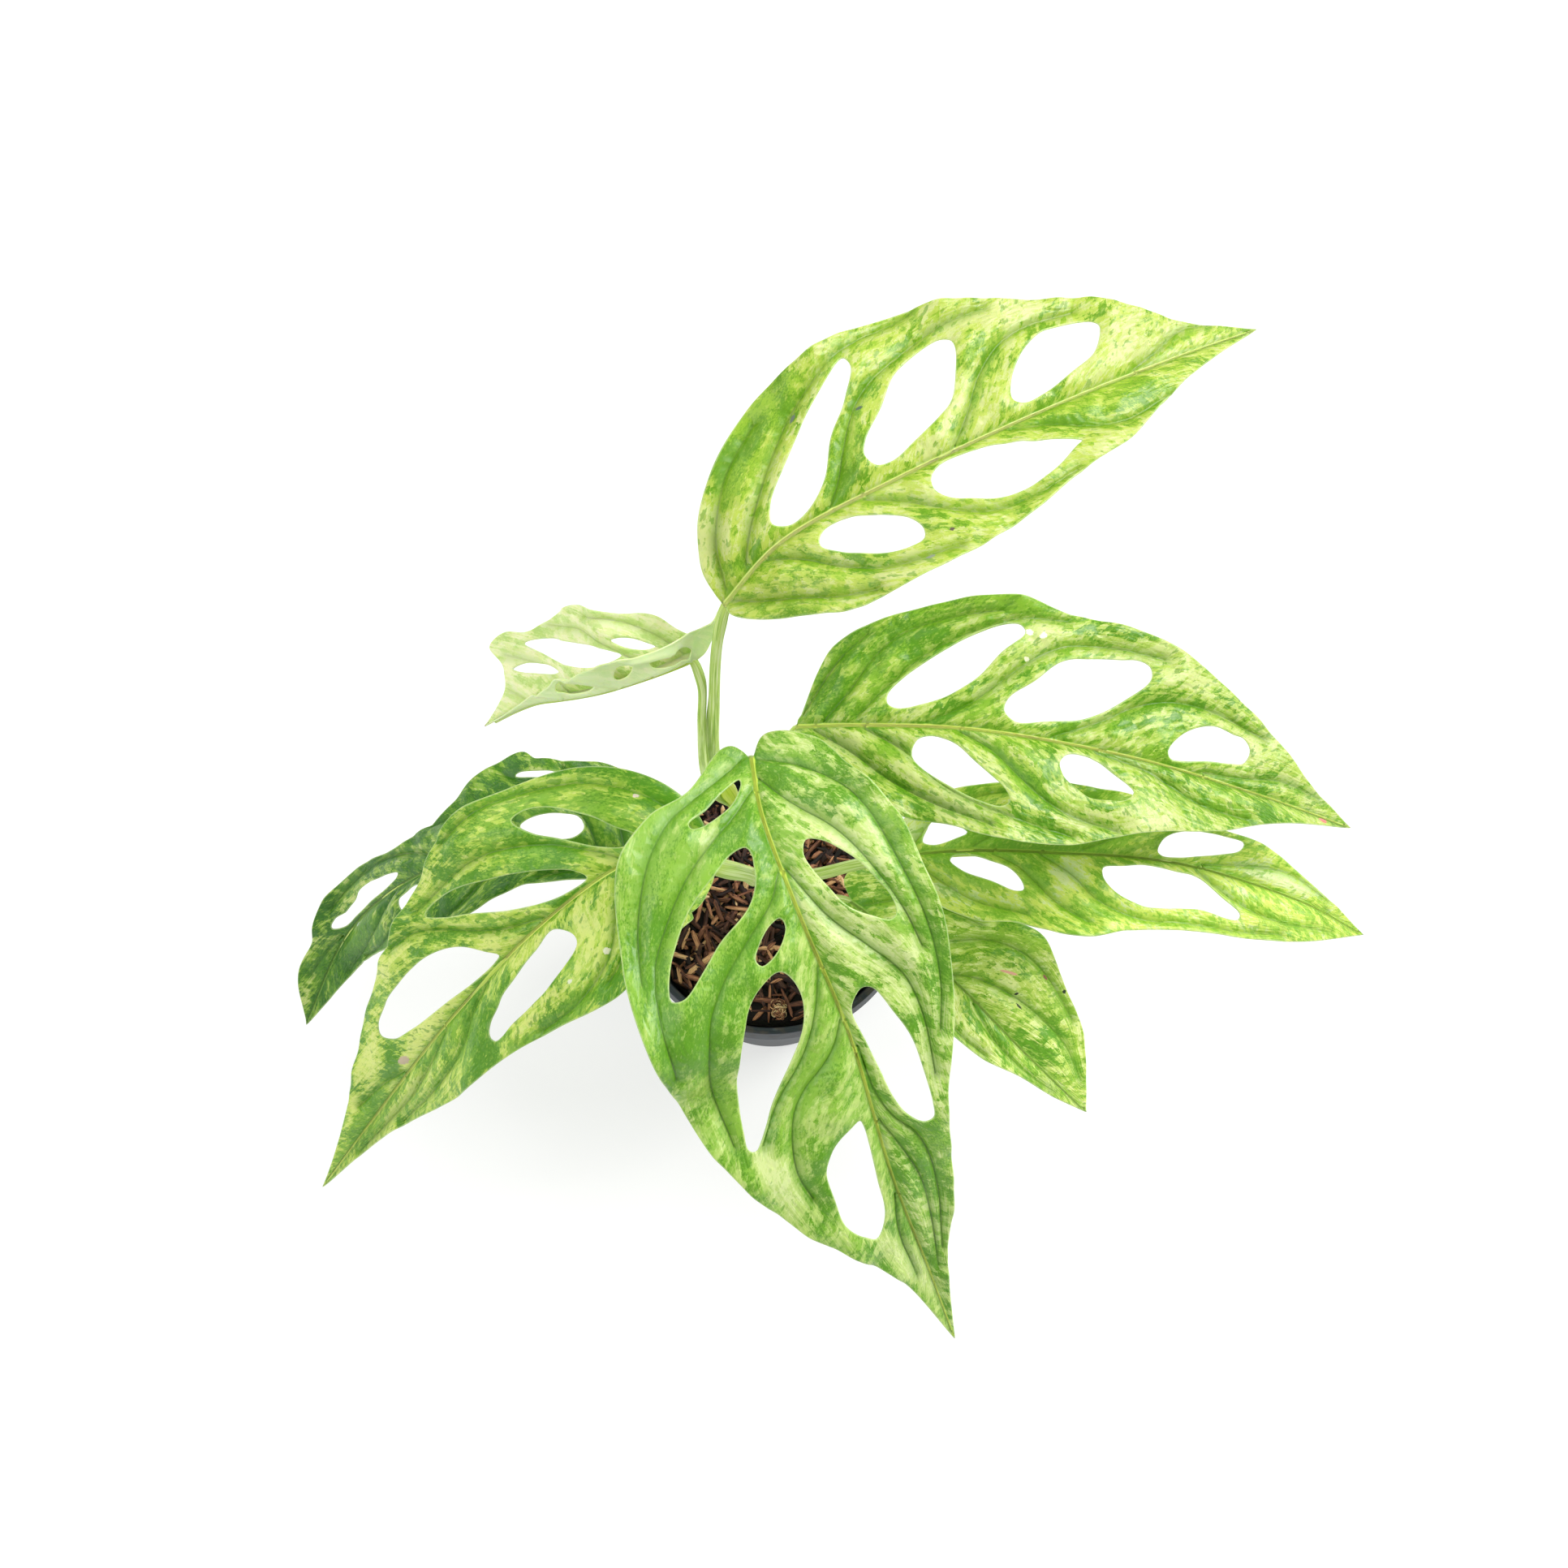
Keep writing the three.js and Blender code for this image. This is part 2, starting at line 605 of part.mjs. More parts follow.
function potGeometry() {
  const band = POT_HEIGHT - RIM_BAND_HEIGHT;
  const inner = RIM_RADIUS - 2.4;
  const neck = RIM_RADIUS - 3.3;
  const pot = toSolid(turned([
    [0, 0],
    [BOSS_RADIUS, 0],
    [BOSS_RADIUS + 1.5, FLOOR_HEIGHT],
    [FOOT_RADIUS - 5.5, FLOOR_HEIGHT],
    [FOOT_RADIUS - 4, 0],
    [FOOT_RADIUS - 0.8, 0],
    [FOOT_RADIUS, 0.8],
    [neck, band - 0.7],
    [RIM_RADIUS - 0.8, band],
    [RIM_RADIUS, band + 0.8],
    [RIM_RADIUS, POT_HEIGHT - 0.7],
    [RIM_RADIUS - 0.6, POT_HEIGHT],
    [inner + 0.7, POT_HEIGHT],
    [inner, POT_HEIGHT - 0.7],
    [inner - 0.2, band + 1.5],
    [neck - WALL, band - 1.5],
    [FOOT_RADIUS - 1.2, FLOOR_HEIGHT + 1.8],
    [0, FLOOR_HEIGHT + 1.8],
  ], POT_SIDES));
  let drained = pot;
  for (let i = 0; i < DRAIN_COUNT; i += 1) {
    const drill = new THREE.CylinderGeometry(DRAIN_RADIUS, DRAIN_RADIUS, 12, 12);
    drill.rotateX(Math.PI / 2);
    const turn = 2 * Math.PI * i / DRAIN_COUNT;
    drill.translate(DRAIN_CIRCLE * Math.cos(turn), DRAIN_CIRCLE * Math.sin(turn), FLOOR_HEIGHT);
    drained = drained.subtract(toSolid(drill));
  }
  return toGeometry(drained);
}

function soilHeight(x, y) {
  return SOIL_TOP + 0.7 * Math.sin(x * 0.31 + 1) * Math.cos(y * 0.27) + 0.5 * Math.sin(x * 0.17 - y * 0.23);
}

function soilGeometry(stemWithGap) {
  const band = POT_HEIGHT - RIM_BAND_HEIGHT;
  const inner = RIM_RADIUS - 2.4 - SOIL_GAP;
  const neck = RIM_RADIUS - 3.3 - WALL - SOIL_GAP;
  const plug = turned([
    [0, FLOOR_HEIGHT + 1.8 + SOIL_GAP],
    [FOOT_RADIUS - 1.2 - SOIL_GAP, FLOOR_HEIGHT + 1.8 + SOIL_GAP],
    [neck, band - 1.5 + SOIL_GAP / 2],
    [inner - 0.3, band + 1.5],
    [inner - 0.3, SOIL_TOP],
    [32, SOIL_TOP],
    [21, SOIL_TOP],
    [10, SOIL_TOP],
    [0, SOIL_TOP],
  ], 32);
  const position = plug.getAttribute('position');
  for (let i = 0; i < position.count; i += 1) {
    if (position.getZ(i) > SOIL_TOP - 0.1) position.setZ(i, soilHeight(position.getX(i), position.getY(i)));
  }
  let soil = toSolid(plug);
  const draw = numberDraw(11);
  const chips = [];
  while (chips.length < CHIP_COUNT) {
    const radius = (inner - 6) * Math.sqrt(draw());
    const turn = 2 * Math.PI * draw();
    const chip = new THREE.BoxGeometry(
      between(CHIP_LENGTH, draw()),
      between(CHIP_WIDTH, draw()),
      CHIP_ROOT,
    );
    chip.rotateX(0.5 * (draw() - 0.5));
    chip.rotateY(0.5 * (draw() - 0.5));
    chip.rotateZ(Math.PI * draw());
    const x = radius * Math.cos(turn);
    const y = radius * Math.sin(turn);
    chip.translate(x, y, soilHeight(x, y) + between(CHIP_RISE, draw()) - CHIP_ROOT / 2);
    chips.push(toSolid(chip));
  }
  for (const chip of chips) soil = soil.add(chip);
  return toGeometry(soil.subtract(stemWithGap));
}

// The stem, or with something extra all round, the room that is kept clear for it.
function stemSolid(extra) {
  const points = STEM_PATH.map((p) => new THREE.Vector3(...p));
  const last = points.length - 1;
  const foot = points[0].clone().sub(points[1]).setLength(extra).add(points[0]);
  const head = points[last].clone().sub(points[last - 1]).setLength(extra).add(points[last]);
  const path = curveThrough([foot, ...points.slice(1, last), head].map((p) => p.toArray()));
  const radiusAt = (share) => STEM_RADIUS * (1.1 - 0.2 * share) + extra;
  return toSolid(bentRod(path, radiusAt, 14, 8));
}

function namedMesh(name, geometry, colour, roughness) {
  const material = new THREE.MeshStandardMaterial({ color: colour, roughness, metalness: 0 });
  const mesh = new THREE.Mesh(geometry, material);
  mesh.name = name;
  return mesh;
}

const plant = new THREE.Group();
const stemWithGap = stemSolid(STEM_GAP);
plant.add(namedMesh('pot', potGeometry(), 0x2d373e, 0.45));
plant.add(namedMesh('soil', soilGeometry(stemWithGap), 0x4a3328, 0.9));
plant.add(namedMesh('stem', toGeometry(stemSolid(0)), 0x8db04c, 0.5));
for (const leaf of LEAVES) {
  leaf.curve = curveThrough(leaf.rib);
  leaf.length = leaf.curve.getLength();
  const whole = toSolid(bladeGeometry(leaf)).add(toSolid(stalkGeometry(leaf)));
  plant.add(namedMesh(leaf.name, toGeometry(whole.subtract(stemWithGap)), leaf.colour, 0.4));
}

export default plant;
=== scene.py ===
import math
import random

import bpy
import numpy as np
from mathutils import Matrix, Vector, geometry


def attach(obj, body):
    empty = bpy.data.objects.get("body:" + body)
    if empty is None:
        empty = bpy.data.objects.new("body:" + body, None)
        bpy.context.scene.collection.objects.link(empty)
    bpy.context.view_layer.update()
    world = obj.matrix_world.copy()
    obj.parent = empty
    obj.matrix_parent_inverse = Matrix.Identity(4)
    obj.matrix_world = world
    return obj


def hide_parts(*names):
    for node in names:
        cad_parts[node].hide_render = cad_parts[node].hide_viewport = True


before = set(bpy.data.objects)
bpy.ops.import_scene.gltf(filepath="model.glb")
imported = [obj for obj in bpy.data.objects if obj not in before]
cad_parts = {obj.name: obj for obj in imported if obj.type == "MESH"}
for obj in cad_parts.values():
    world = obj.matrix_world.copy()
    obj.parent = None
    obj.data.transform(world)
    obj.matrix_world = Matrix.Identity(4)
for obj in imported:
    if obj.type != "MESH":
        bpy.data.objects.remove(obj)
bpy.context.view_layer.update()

# The camera looks steeply down on the plant from the front, along +Y, so that all eight leaves
# spread out across the picture.
MM = 0.001
PICTURE_SIDE = 1932
CAMERA_ELEVATION = math.radians(72)
CAMERA_DISTANCE = 1000 * MM
CAMERA_AIM = Vector((4.19, 34.96, 89.36)) * MM
FOCAL_PIXELS = 3820
SENSOR_WIDTH = 36

camera = bpy.data.objects.new("camera", bpy.data.cameras.new("camera"))
bpy.context.scene.collection.objects.link(camera)
camera.data.sensor_width = SENSOR_WIDTH
camera.data.lens = SENSOR_WIDTH * FOCAL_PIXELS / PICTURE_SIDE
camera.data.clip_start = 10 * MM
camera.location = CAMERA_AIM + CAMERA_DISTANCE * Vector(
    (0, -math.cos(CAMERA_ELEVATION), math.sin(CAMERA_ELEVATION))
)
camera.rotation_euler = (math.pi / 2 - CAMERA_ELEVATION, 0, 0)
bpy.context.scene.camera = camera

# The light is that of a white studio: a bright room all round, a large soft lamp high on the
# right that gives the leaves their pale sheen, and weaker ones on the left and behind.
ROOM_LIGHT = 0.46
LAMPS = [
    # name, place in metres, side in metres, watts
    ("lamp_right", (1.75, 0.65, 1.65), 1.2, 60),
    ("lamp_left", (-1.4, -0.8, 1.8), 1.6, 24),
    ("lamp_back", (-0.9, 1.4, 1.7), 1.4, 14),
]

bpy.context.scene.view_settings.view_transform = "Standard"
room = bpy.data.worlds.new("room")
room.use_nodes = True
room.node_tree.nodes["Background"].inputs["Color"].default_value = (1, 1, 1, 1)
room.node_tree.nodes["Background"].inputs["Strength"].default_value = ROOM_LIGHT
bpy.context.scene.world = room
for name, place, side, watts in LAMPS:
    lamp = bpy.data.objects.new(name, bpy.data.lights.new(name, "AREA"))
    lamp.data.size = side
    lamp.data.energy = watts
    lamp.location = place
    lamp.rotation_euler = (Vector(place) - CAMERA_AIM).to_track_quat("Z", "Y").to_euler()
    bpy.context.scene.collection.objects.link(lamp)


# The pot is one moulding of thin charcoal plastic with a satin skin: a tapered wall, a stepped
# band round its rim with a rolled lip, and a raised floor with a ring of drain holes, on a foot
# ring and a small boss.
class Shade:
    """A value, colour or vector in a material. Arithmetic on it adds the nodes that work it out."""

    def __init__(self, tree, socket=None):
        self.tree = tree
        self.socket = socket

    def node(self, kind, settings, values, output=0):
        """A node of any kind, with its settings and inputs. It gives one of the node's outputs."""
        node = self.tree.nodes.new(kind)
        for name, setting in settings.items():
            if name == "stops":
                ramp = node.color_ramp.elements
                ramp[0].position, ramp[0].color = setting[0][0], (*setting[0][1], 1)
                ramp[1].position, ramp[1].color = setting[-1][0], (*setting[-1][1], 1)
                for place, colour in setting[1:-1]:
                    ramp.new(place).color = (*colour, 1)
            else:
                setattr(node, name, setting)
        for name, value in values.items():
            if isinstance(value, Shade):
                self.tree.links.new(value.socket, node.inputs[name])
            elif isinstance(value, tuple) and len(value) == 3 and node.inputs[name].type == "RGBA":
                node.inputs[name].default_value = (*value, 1)
            else:
                node.inputs[name].default_value = value
        return Shade(self.tree, node.outputs[output])

    def math(self, operation, first, second):
        return self.node("ShaderNodeMath", {"operation": operation}, {0: first, 1: second})

    def __add__(self, other):
        return self.math("ADD", self, other)

    def __radd__(self, other):
        return self.math("ADD", other, self)

    def __sub__(self, other):
        return self.math("SUBTRACT", self, other)

    def __rsub__(self, other):
        return self.math("SUBTRACT", other, self)

    def __mul__(self, other):
        return self.math("MULTIPLY", self, other)

    def rise(self, low, high):
        """0 below low and 1 above high, with a smooth step between them."""
        return self.node(
            "ShaderNodeMapRange",
            {"interpolation_type": "SMOOTHSTEP"},
            {"Value": self, "From Min": low, "From Max": high},
        )

    def mix(self, colour, other):
        """colour where this value is 0, and other where it is 1. Inputs 6 and 7 of the node and
        its output 2 are its colours."""
        return self.node(
            "ShaderNodeMix", {"data_type": "RGBA"}, {0: self, 6: colour, 7: other}, output=2
        )

    def ramp(self, *stops):
        return self.node("ShaderNodeValToRGB", {"stops": stops}, {"Fac": self})

    def stretched(self, stretch, offset=(0, 0, 0)):
        """This vector, scaled along each of its three ways and then moved."""
        return self.node(
            "ShaderNodeVectorMath",
            {"operation": "MULTIPLY_ADD"},
            {0: self, 1: stretch, 2: offset},
        )

    def noise(self, stretch, seed, detail=3.0, roughness=0.5, distortion=0.0):
        """Cloudy noise from 0 to 1 over this vector."""
        return self.node(
            "ShaderNodeTexNoise",
            {},
            {
                "Vector": self.stretched(stretch, (seed * 7.3, seed * 3.1, seed * 11.7)),
                "Scale": 1.0,
                "Detail": detail,
                "Roughness": roughness,
                "Distortion": distortion,
            },
        )

    def part(self, output):
        """One number of this vector: 0, 1 or 2."""
        return self.node("ShaderNodeSeparateXYZ", {}, {0: self}, output=output)

    def mark(self, name, output="Vector"):
        """What the mesh carries under this name: three numbers, or one with the output Fac."""
        return self.node("ShaderNodeAttribute", {"attribute_name": name}, {}, output=output)


def plain(red, green, blue):
    """A colour given as it looks on a screen, from 0 to 255, in the form that materials take."""
    return tuple(
        c / 12.92 if c <= 0.04045 else ((c + 0.055) / 1.055) ** 2.4
        for c in (red / 255, green / 255, blue / 255)
    )


def new_material(name, **constants):
    """A material, a way in to its nodes and its main shader, with the shader's constants set."""
    material = bpy.data.materials.new(name)
    material.use_nodes = True
    shader = material.node_tree.nodes["Principled BSDF"]
    for socket, value in constants.items():
        shader.inputs[socket.replace("_", " ")].default_value = value
    return material, Shade(material.node_tree), shader


def feed(shader, **values):
    """Links worked-out values to the main shader."""
    for socket, value in values.items():
        value.tree.links.new(value.socket, shader.inputs[socket.replace("_", " ")])


def bumped(height, distance):
    """The shading direction of a skin whose height goes up by distance, in millimetres."""
    return height.node(
        "ShaderNodeBump", {}, {"Height": height, "Distance": distance * MM, "Strength": 1.0}
    )


def add_piece(name, points, faces, materials, face_materials=None, marks=None):
    """A smooth mesh from points in millimetres, which stands for the CAD node of its own name.
    marks are named numbers or triples, one for each point, that the materials read."""
    mesh = bpy.data.meshes.new(name)
    mesh.from_pydata((np.array(points) * MM).tolist(), [], [list(map(int, f)) for f in faces])
    mesh.polygons.foreach_set("use_smooth", [True] * len(faces))
    for material in materials:
        mesh.materials.append(material)
    if face_materials is not None:
        mesh.polygons.foreach_set("material_index", face_materials)
    for mark, values in (marks or {}).items():
        values = np.array(values, np.float32)
        if values.ndim == 1:
            mesh.attributes.new(mark, "FLOAT", "POINT").data.foreach_set("value", values)
        else:
            vectors = mesh.attributes.new(mark, "FLOAT_VECTOR", "POINT").data
            vectors.foreach_set("vector", values.ravel())
    mesh.update()
    piece = bpy.data.objects.new(name + "_fine", mesh)
    bpy.context.scene.collection.objects.link(piece)
    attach(piece, "root")
    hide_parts(name)
    return piece


def rounded(corners, radius, steps=4):
    """The corners of a profile, each but the first and last turned into a small arc."""
    corners = [np.array(c, float) for c in corners]
    line = [corners[0]]
    for before, corner, after in zip(corners, corners[1:], corners[2:]):
        back, ahead = before - corner, after - corner
        reach = min(radius, np.linalg.norm(back) * 0.45, np.linalg.norm(ahead) * 0.45)
        start = corner + back / np.linalg.norm(back) * reach
        end = corner + ahead / np.linalg.norm(ahead) * reach
        for share in np.linspace(0, 1, steps + 1):
            line.append((1 - share) ** 2 * start + 2 * share * (1 - share) * corner + share**2 * end)
    line.append(corners[-1])
    return np.array(line)


def turned(profile, sides):
    """Points and faces of a profile of radius and height turned about Z. Its ends lie on the axis."""
    turns = 2 * np.pi * np.arange(sides) / sides
    rings = profile[1:-1]
    points = [(0, 0, profile[0][1]), (0, 0, profile[-1][1])]
    for radius, height in rings:
        points += [(radius * math.cos(t), radius * math.sin(t), height) for t in turns]
    faces = []
    last = 2 + (len(rings) - 1) * sides
    for i in range(sides):
        j = (i + 1) % sides
        faces.append((0, 2 + j, 2 + i))
        faces.append((1, last + i, last + j))
        for ring in range(len(rings) - 1):
            low = 2 + ring * sides
            faces.append((low + i, low + j, low + sides + j, low + sides + i))
    return np.array(points), faces


POT_HEIGHT = 78
RIM_RADIUS = 45
RIM_BAND = POT_HEIGHT - 9
FOOT_RADIUS = 31
INNER_FOOT = FOOT_RADIUS - 1.2
WALL = 1.5
FLOOR_HEIGHT = 2.5
FLOOR_TOP = FLOOR_HEIGHT + 1.8
BOSS_RADIUS = 9
DRAIN_COUNT = 6
DRAIN_RADIUS = 3.2
DRAIN_CIRCLE = 19
DRILL_ENDS = (0.5, 8)
DRILL_SIDES = 32
POT_SIDES = 160
RIM_INNER = RIM_RADIUS - 2.4
NECK_RADIUS = RIM_RADIUS - 3.3


def pot_plastic():
    material, start, shader = new_material("pot_plastic", Specular_IOR_Level=0.3)
    place = start.node("ShaderNodeTexCoord", {}, {}, output="Object")
    place = place.stretched((1 / MM, 1 / MM, 1 / MM))
    cloud = place.noise((0.05, 0.05, 0.05), 1, detail=4)
    grain = place.noise((1.6, 1.6, 1.6), 2, detail=2)
    scratches = place.noise((0.25, 0.25, 2.6), 3, detail=3).rise(0.6, 0.72)
    height = place.part(2)
    inside = place.noise((0.3, 0.3, 0.3), 4, detail=5).rise(0.42, 0.7)
    dust = inside * height.rise(68, 76.5) * 0.35
    tone = cloud.ramp((0.3, plain(31, 38, 45)), (0.7, plain(43, 51, 59)))
    tone = (scratches * 0.35).mix(tone, plain(84, 92, 100))
    tone = dust.mix(tone, plain(92, 78, 62))
    feed(
        shader,
        Base_Color=tone,
        Roughness=0.42 + cloud * 0.12 + dust * 0.4,
        Normal=bumped(grain * 0.6 + scratches * 0.3, 0.05),
    )
    return material


def make_pot():
    profile = rounded(
        [
            (0, 0),
            (BOSS_RADIUS, 0),
            (BOSS_RADIUS + 1.5, FLOOR_HEIGHT),
            (FOOT_RADIUS - 5.5, FLOOR_HEIGHT),
            (FOOT_RADIUS - 4, 0),
            (FOOT_RADIUS - 0.8, 0),
            (FOOT_RADIUS, 0.8),
            (NECK_RADIUS, RIM_BAND - 0.7),
            (RIM_RADIUS - 0.8, RIM_BAND),
            (RIM_RADIUS, RIM_BAND + 0.8),
            (RIM_RADIUS - 0.15, POT_HEIGHT - 1.6),
            (RIM_RADIUS, POT_HEIGHT - 1.1),
            (RIM_RADIUS - 0.1, POT_HEIGHT - 0.1),
            (RIM_RADIUS - 0.8, POT_HEIGHT),
            (RIM_RADIUS - 1.2, POT_HEIGHT - 0.35),
            (RIM_INNER + 0.6, POT_HEIGHT - 0.3),
            (RIM_INNER, POT_HEIGHT - 0.9),
            (RIM_INNER - 0.2, RIM_BAND + 1.5),
            (NECK_RADIUS - WALL, RIM_BAND - 1.5),
            (INNER_FOOT, FLOOR_TOP),
            (0, FLOOR_TOP),
        ],
        0.5,
    )
    points, faces = turned(profile, POT_SIDES)
    pot = add_piece("pot", points, faces, [pot_plastic()])
    low, high = DRILL_ENDS
    drill_profile = np.array([(0, low), (DRAIN_RADIUS, low), (DRAIN_RADIUS, high), (0, high)])
    one_drill, one_drill_faces = turned(drill_profile, DRILL_SIDES)
    drill_points, drill_faces = [], []
    for i in range(DRAIN_COUNT):
        turn = 2 * math.pi * i / DRAIN_COUNT
        placed = one_drill + [DRAIN_CIRCLE * math.cos(turn), DRAIN_CIRCLE * math.sin(turn), 0]
        drill_faces += [[len(drill_points) + corner for corner in face] for face in one_drill_faces]
        drill_points += (placed * MM).tolist()
    drills = bpy.data.meshes.new("drills")
    drills.from_pydata(drill_points, [], drill_faces)
    drill = bpy.data.objects.new("drills", drills)
    bpy.context.scene.collection.objects.link(drill)
    cut = pot.modifiers.new("drain_holes", "BOOLEAN")
    cut.object = drill
    cut.solver = "EXACT"
    bpy.context.view_layer.update()
    drained = pot.evaluated_get(bpy.context.evaluated_depsgraph_get())
    drained_mesh = bpy.data.meshes.new_from_object(drained)
    pot.modifiers.clear()
    pot.data = drained_mesh
    bpy.data.objects.remove(drill)


make_pot()


# The potting mix is a plug of bark that fills the pot, in the darkest tone of the bark as painted
# shade for the gaps between the chips. Its top is covered with loose splinters of bark, brown to
# tan, that lie criss-cross with black gaps between them, the lower ones darker as painted shade
# under the ones above, and a tuft of tan fibre lies near the front.
SOIL_TOP = 72
SOIL_GAP = 0.35
CHIP_COUNT = 1050
CHIP_LENGTH = (5, 12.5)
CHIP_WIDTH = (1.0, 2.3)
CHIP_REACH = RIM_INNER - 0.6
CHIP_DEPTH = 3.0
CHIP_LAYERS = 4.6
LUMP_DEPTH = 2.2
FIBRE_COUNT = 130
FIBRE_BALL = (2.6, 3.8, 1.8)
FIBRE_THICKNESS = 0.2
FIBRE_PLACE = (2.4, -36)


def soil_height(x, y):
    """The height of the mix's uneven top."""
    lumps = 0.7 * math.sin(x * 0.31 + 1) * math.cos(y * 0.27)
    return SOIL_TOP + lumps + 0.5 * math.sin(x * 0.17 - y * 0.23)


def turn_matrix(roll, pitch, yaw):
    """Turns about X, then Y, then Z."""
    cr, sr, cp, sp, cy, sy = (f(a) for a in (roll, pitch, yaw) for f in (math.cos, math.sin))
    about_x = np.array([[1, 0, 0], [0, cr, -sr], [0, sr, cr]])
    about_y = np.array([[cp, 0, sp], [0, 1, 0], [-sp, 0, cp]])
    about_z = np.array([[cy, -sy, 0], [sy, cy, 0], [0, 0, 1]])
    return about_z @ about_y @ about_x


def rod(centres, sections, first=0):
    """Points and faces of a closed bar: sections are its rings of points, one at each centre, and
    first is the number of its first point in the mesh."""
    count = len(sections[0])
    points = [centres[0], *[p for section in sections for p in section], centres[-1]]
    faces = []
    last = first + 1 + (len(sections) - 1) * count
    for i in range(count):
        j = (i + 1) % count
        faces.append((first, first + 1 + j, first + 1 + i))
        faces.append((last + count, last + i, last + j))
        for ring in range(len(sections) - 1):
            low = first + 1 + ring * count
            faces.append((low + i, low + j, low + count + j, low + count + i))
    return points, faces


def bark_chip(draw, length, width):
    """One splinter along X: flat and nearly straight, with sharp slanted ends."""
    thick = width * draw.uniform(0.35, 0.6)
    bend = draw.uniform(-0.5, 0.5)
    slant = draw.uniform(-1.2, 1.2)
    sizes = [draw.uniform(0.05, 0.5), draw.uniform(0.7, 1), 1, 1]
    sizes += [draw.uniform(0.7, 1), draw.uniform(0.05, 0.4)]
    centres, sections = [], []
    for way, size in zip((-0.5, -0.37, -0.13, 0.13, 0.37, 0.5), sizes):
        centre = np.array([way * length, bend * (way * way * 4 - 0.4), 0])
        section = []
        for turn in np.arange(6) / 6 * 2 * math.pi + 0.4:
            across = math.cos(turn) * width / 2 * size * draw.uniform(0.85, 1.1)
            rise = math.sin(turn) * thick / 2 * (0.4 + 0.6 * size) * draw.uniform(0.8, 1.15)
            section.append(centre + [slant * across * abs(way) * 2, across, rise])
        centres.append(centre)
        sections.append(section)
    return centres, sections


def bark_mix():
    material, start, shader = new_material("bark_mix", Specular_IOR_Level=0.35)
    along = start.mark("grain")
    tone = start.mark("tone", "Fac")
    fibres = along.noise((0.3, 3.0, 3.0), 1, detail=4, roughness=0.65)
    patch = along.noise((0.25, 0.8, 0.8), 2, detail=3)
    base = (tone + (fibres - 0.5) * 0.75 + (patch - 0.5) * 0.35).ramp(
        (0.05, plain(22, 17, 17)),
        (0.25, plain(64, 40, 35)),
        (0.45, plain(126, 80, 60)),
        (0.62, plain(186, 128, 94)),
        (0.8, plain(232, 182, 132)),
        (1.0, plain(245, 214, 168)),
    )
    base = fibres.rise(0.32, 0.42).mix(plain(30, 21, 18), base)
    feed(
        shader,
        Base_Color=base,
        Roughness=0.5 + patch * 0.3,
        Normal=bumped(fibres, 0.4),
    )
    return material


def soil_plug():
    """The plug under the chips, and its top with low lumps."""
    inner = RIM_INNER - SOIL_GAP
    top = SOIL_TOP - LUMP_DEPTH
    profile = np.array(
        [
            (0, FLOOR_TOP + SOIL_GAP),
            (INNER_FOOT - SOIL_GAP, FLOOR_TOP + SOIL_GAP),
            (NECK_RADIUS - WALL - SOIL_GAP, RIM_BAND - 1.8),
            (inner - 1.6, top),
            *[(radius, top) for radius in (36.0, 30.0, 24.0, 18.0, 12.0, 6.0)],
            (0, top),
        ]
    )
    points, faces = turned(profile, 96)
    for point in points:
        if point[2] > top - 0.1:
            point[2] = soil_height(point[0], point[1]) - LUMP_DEPTH
    return points, faces


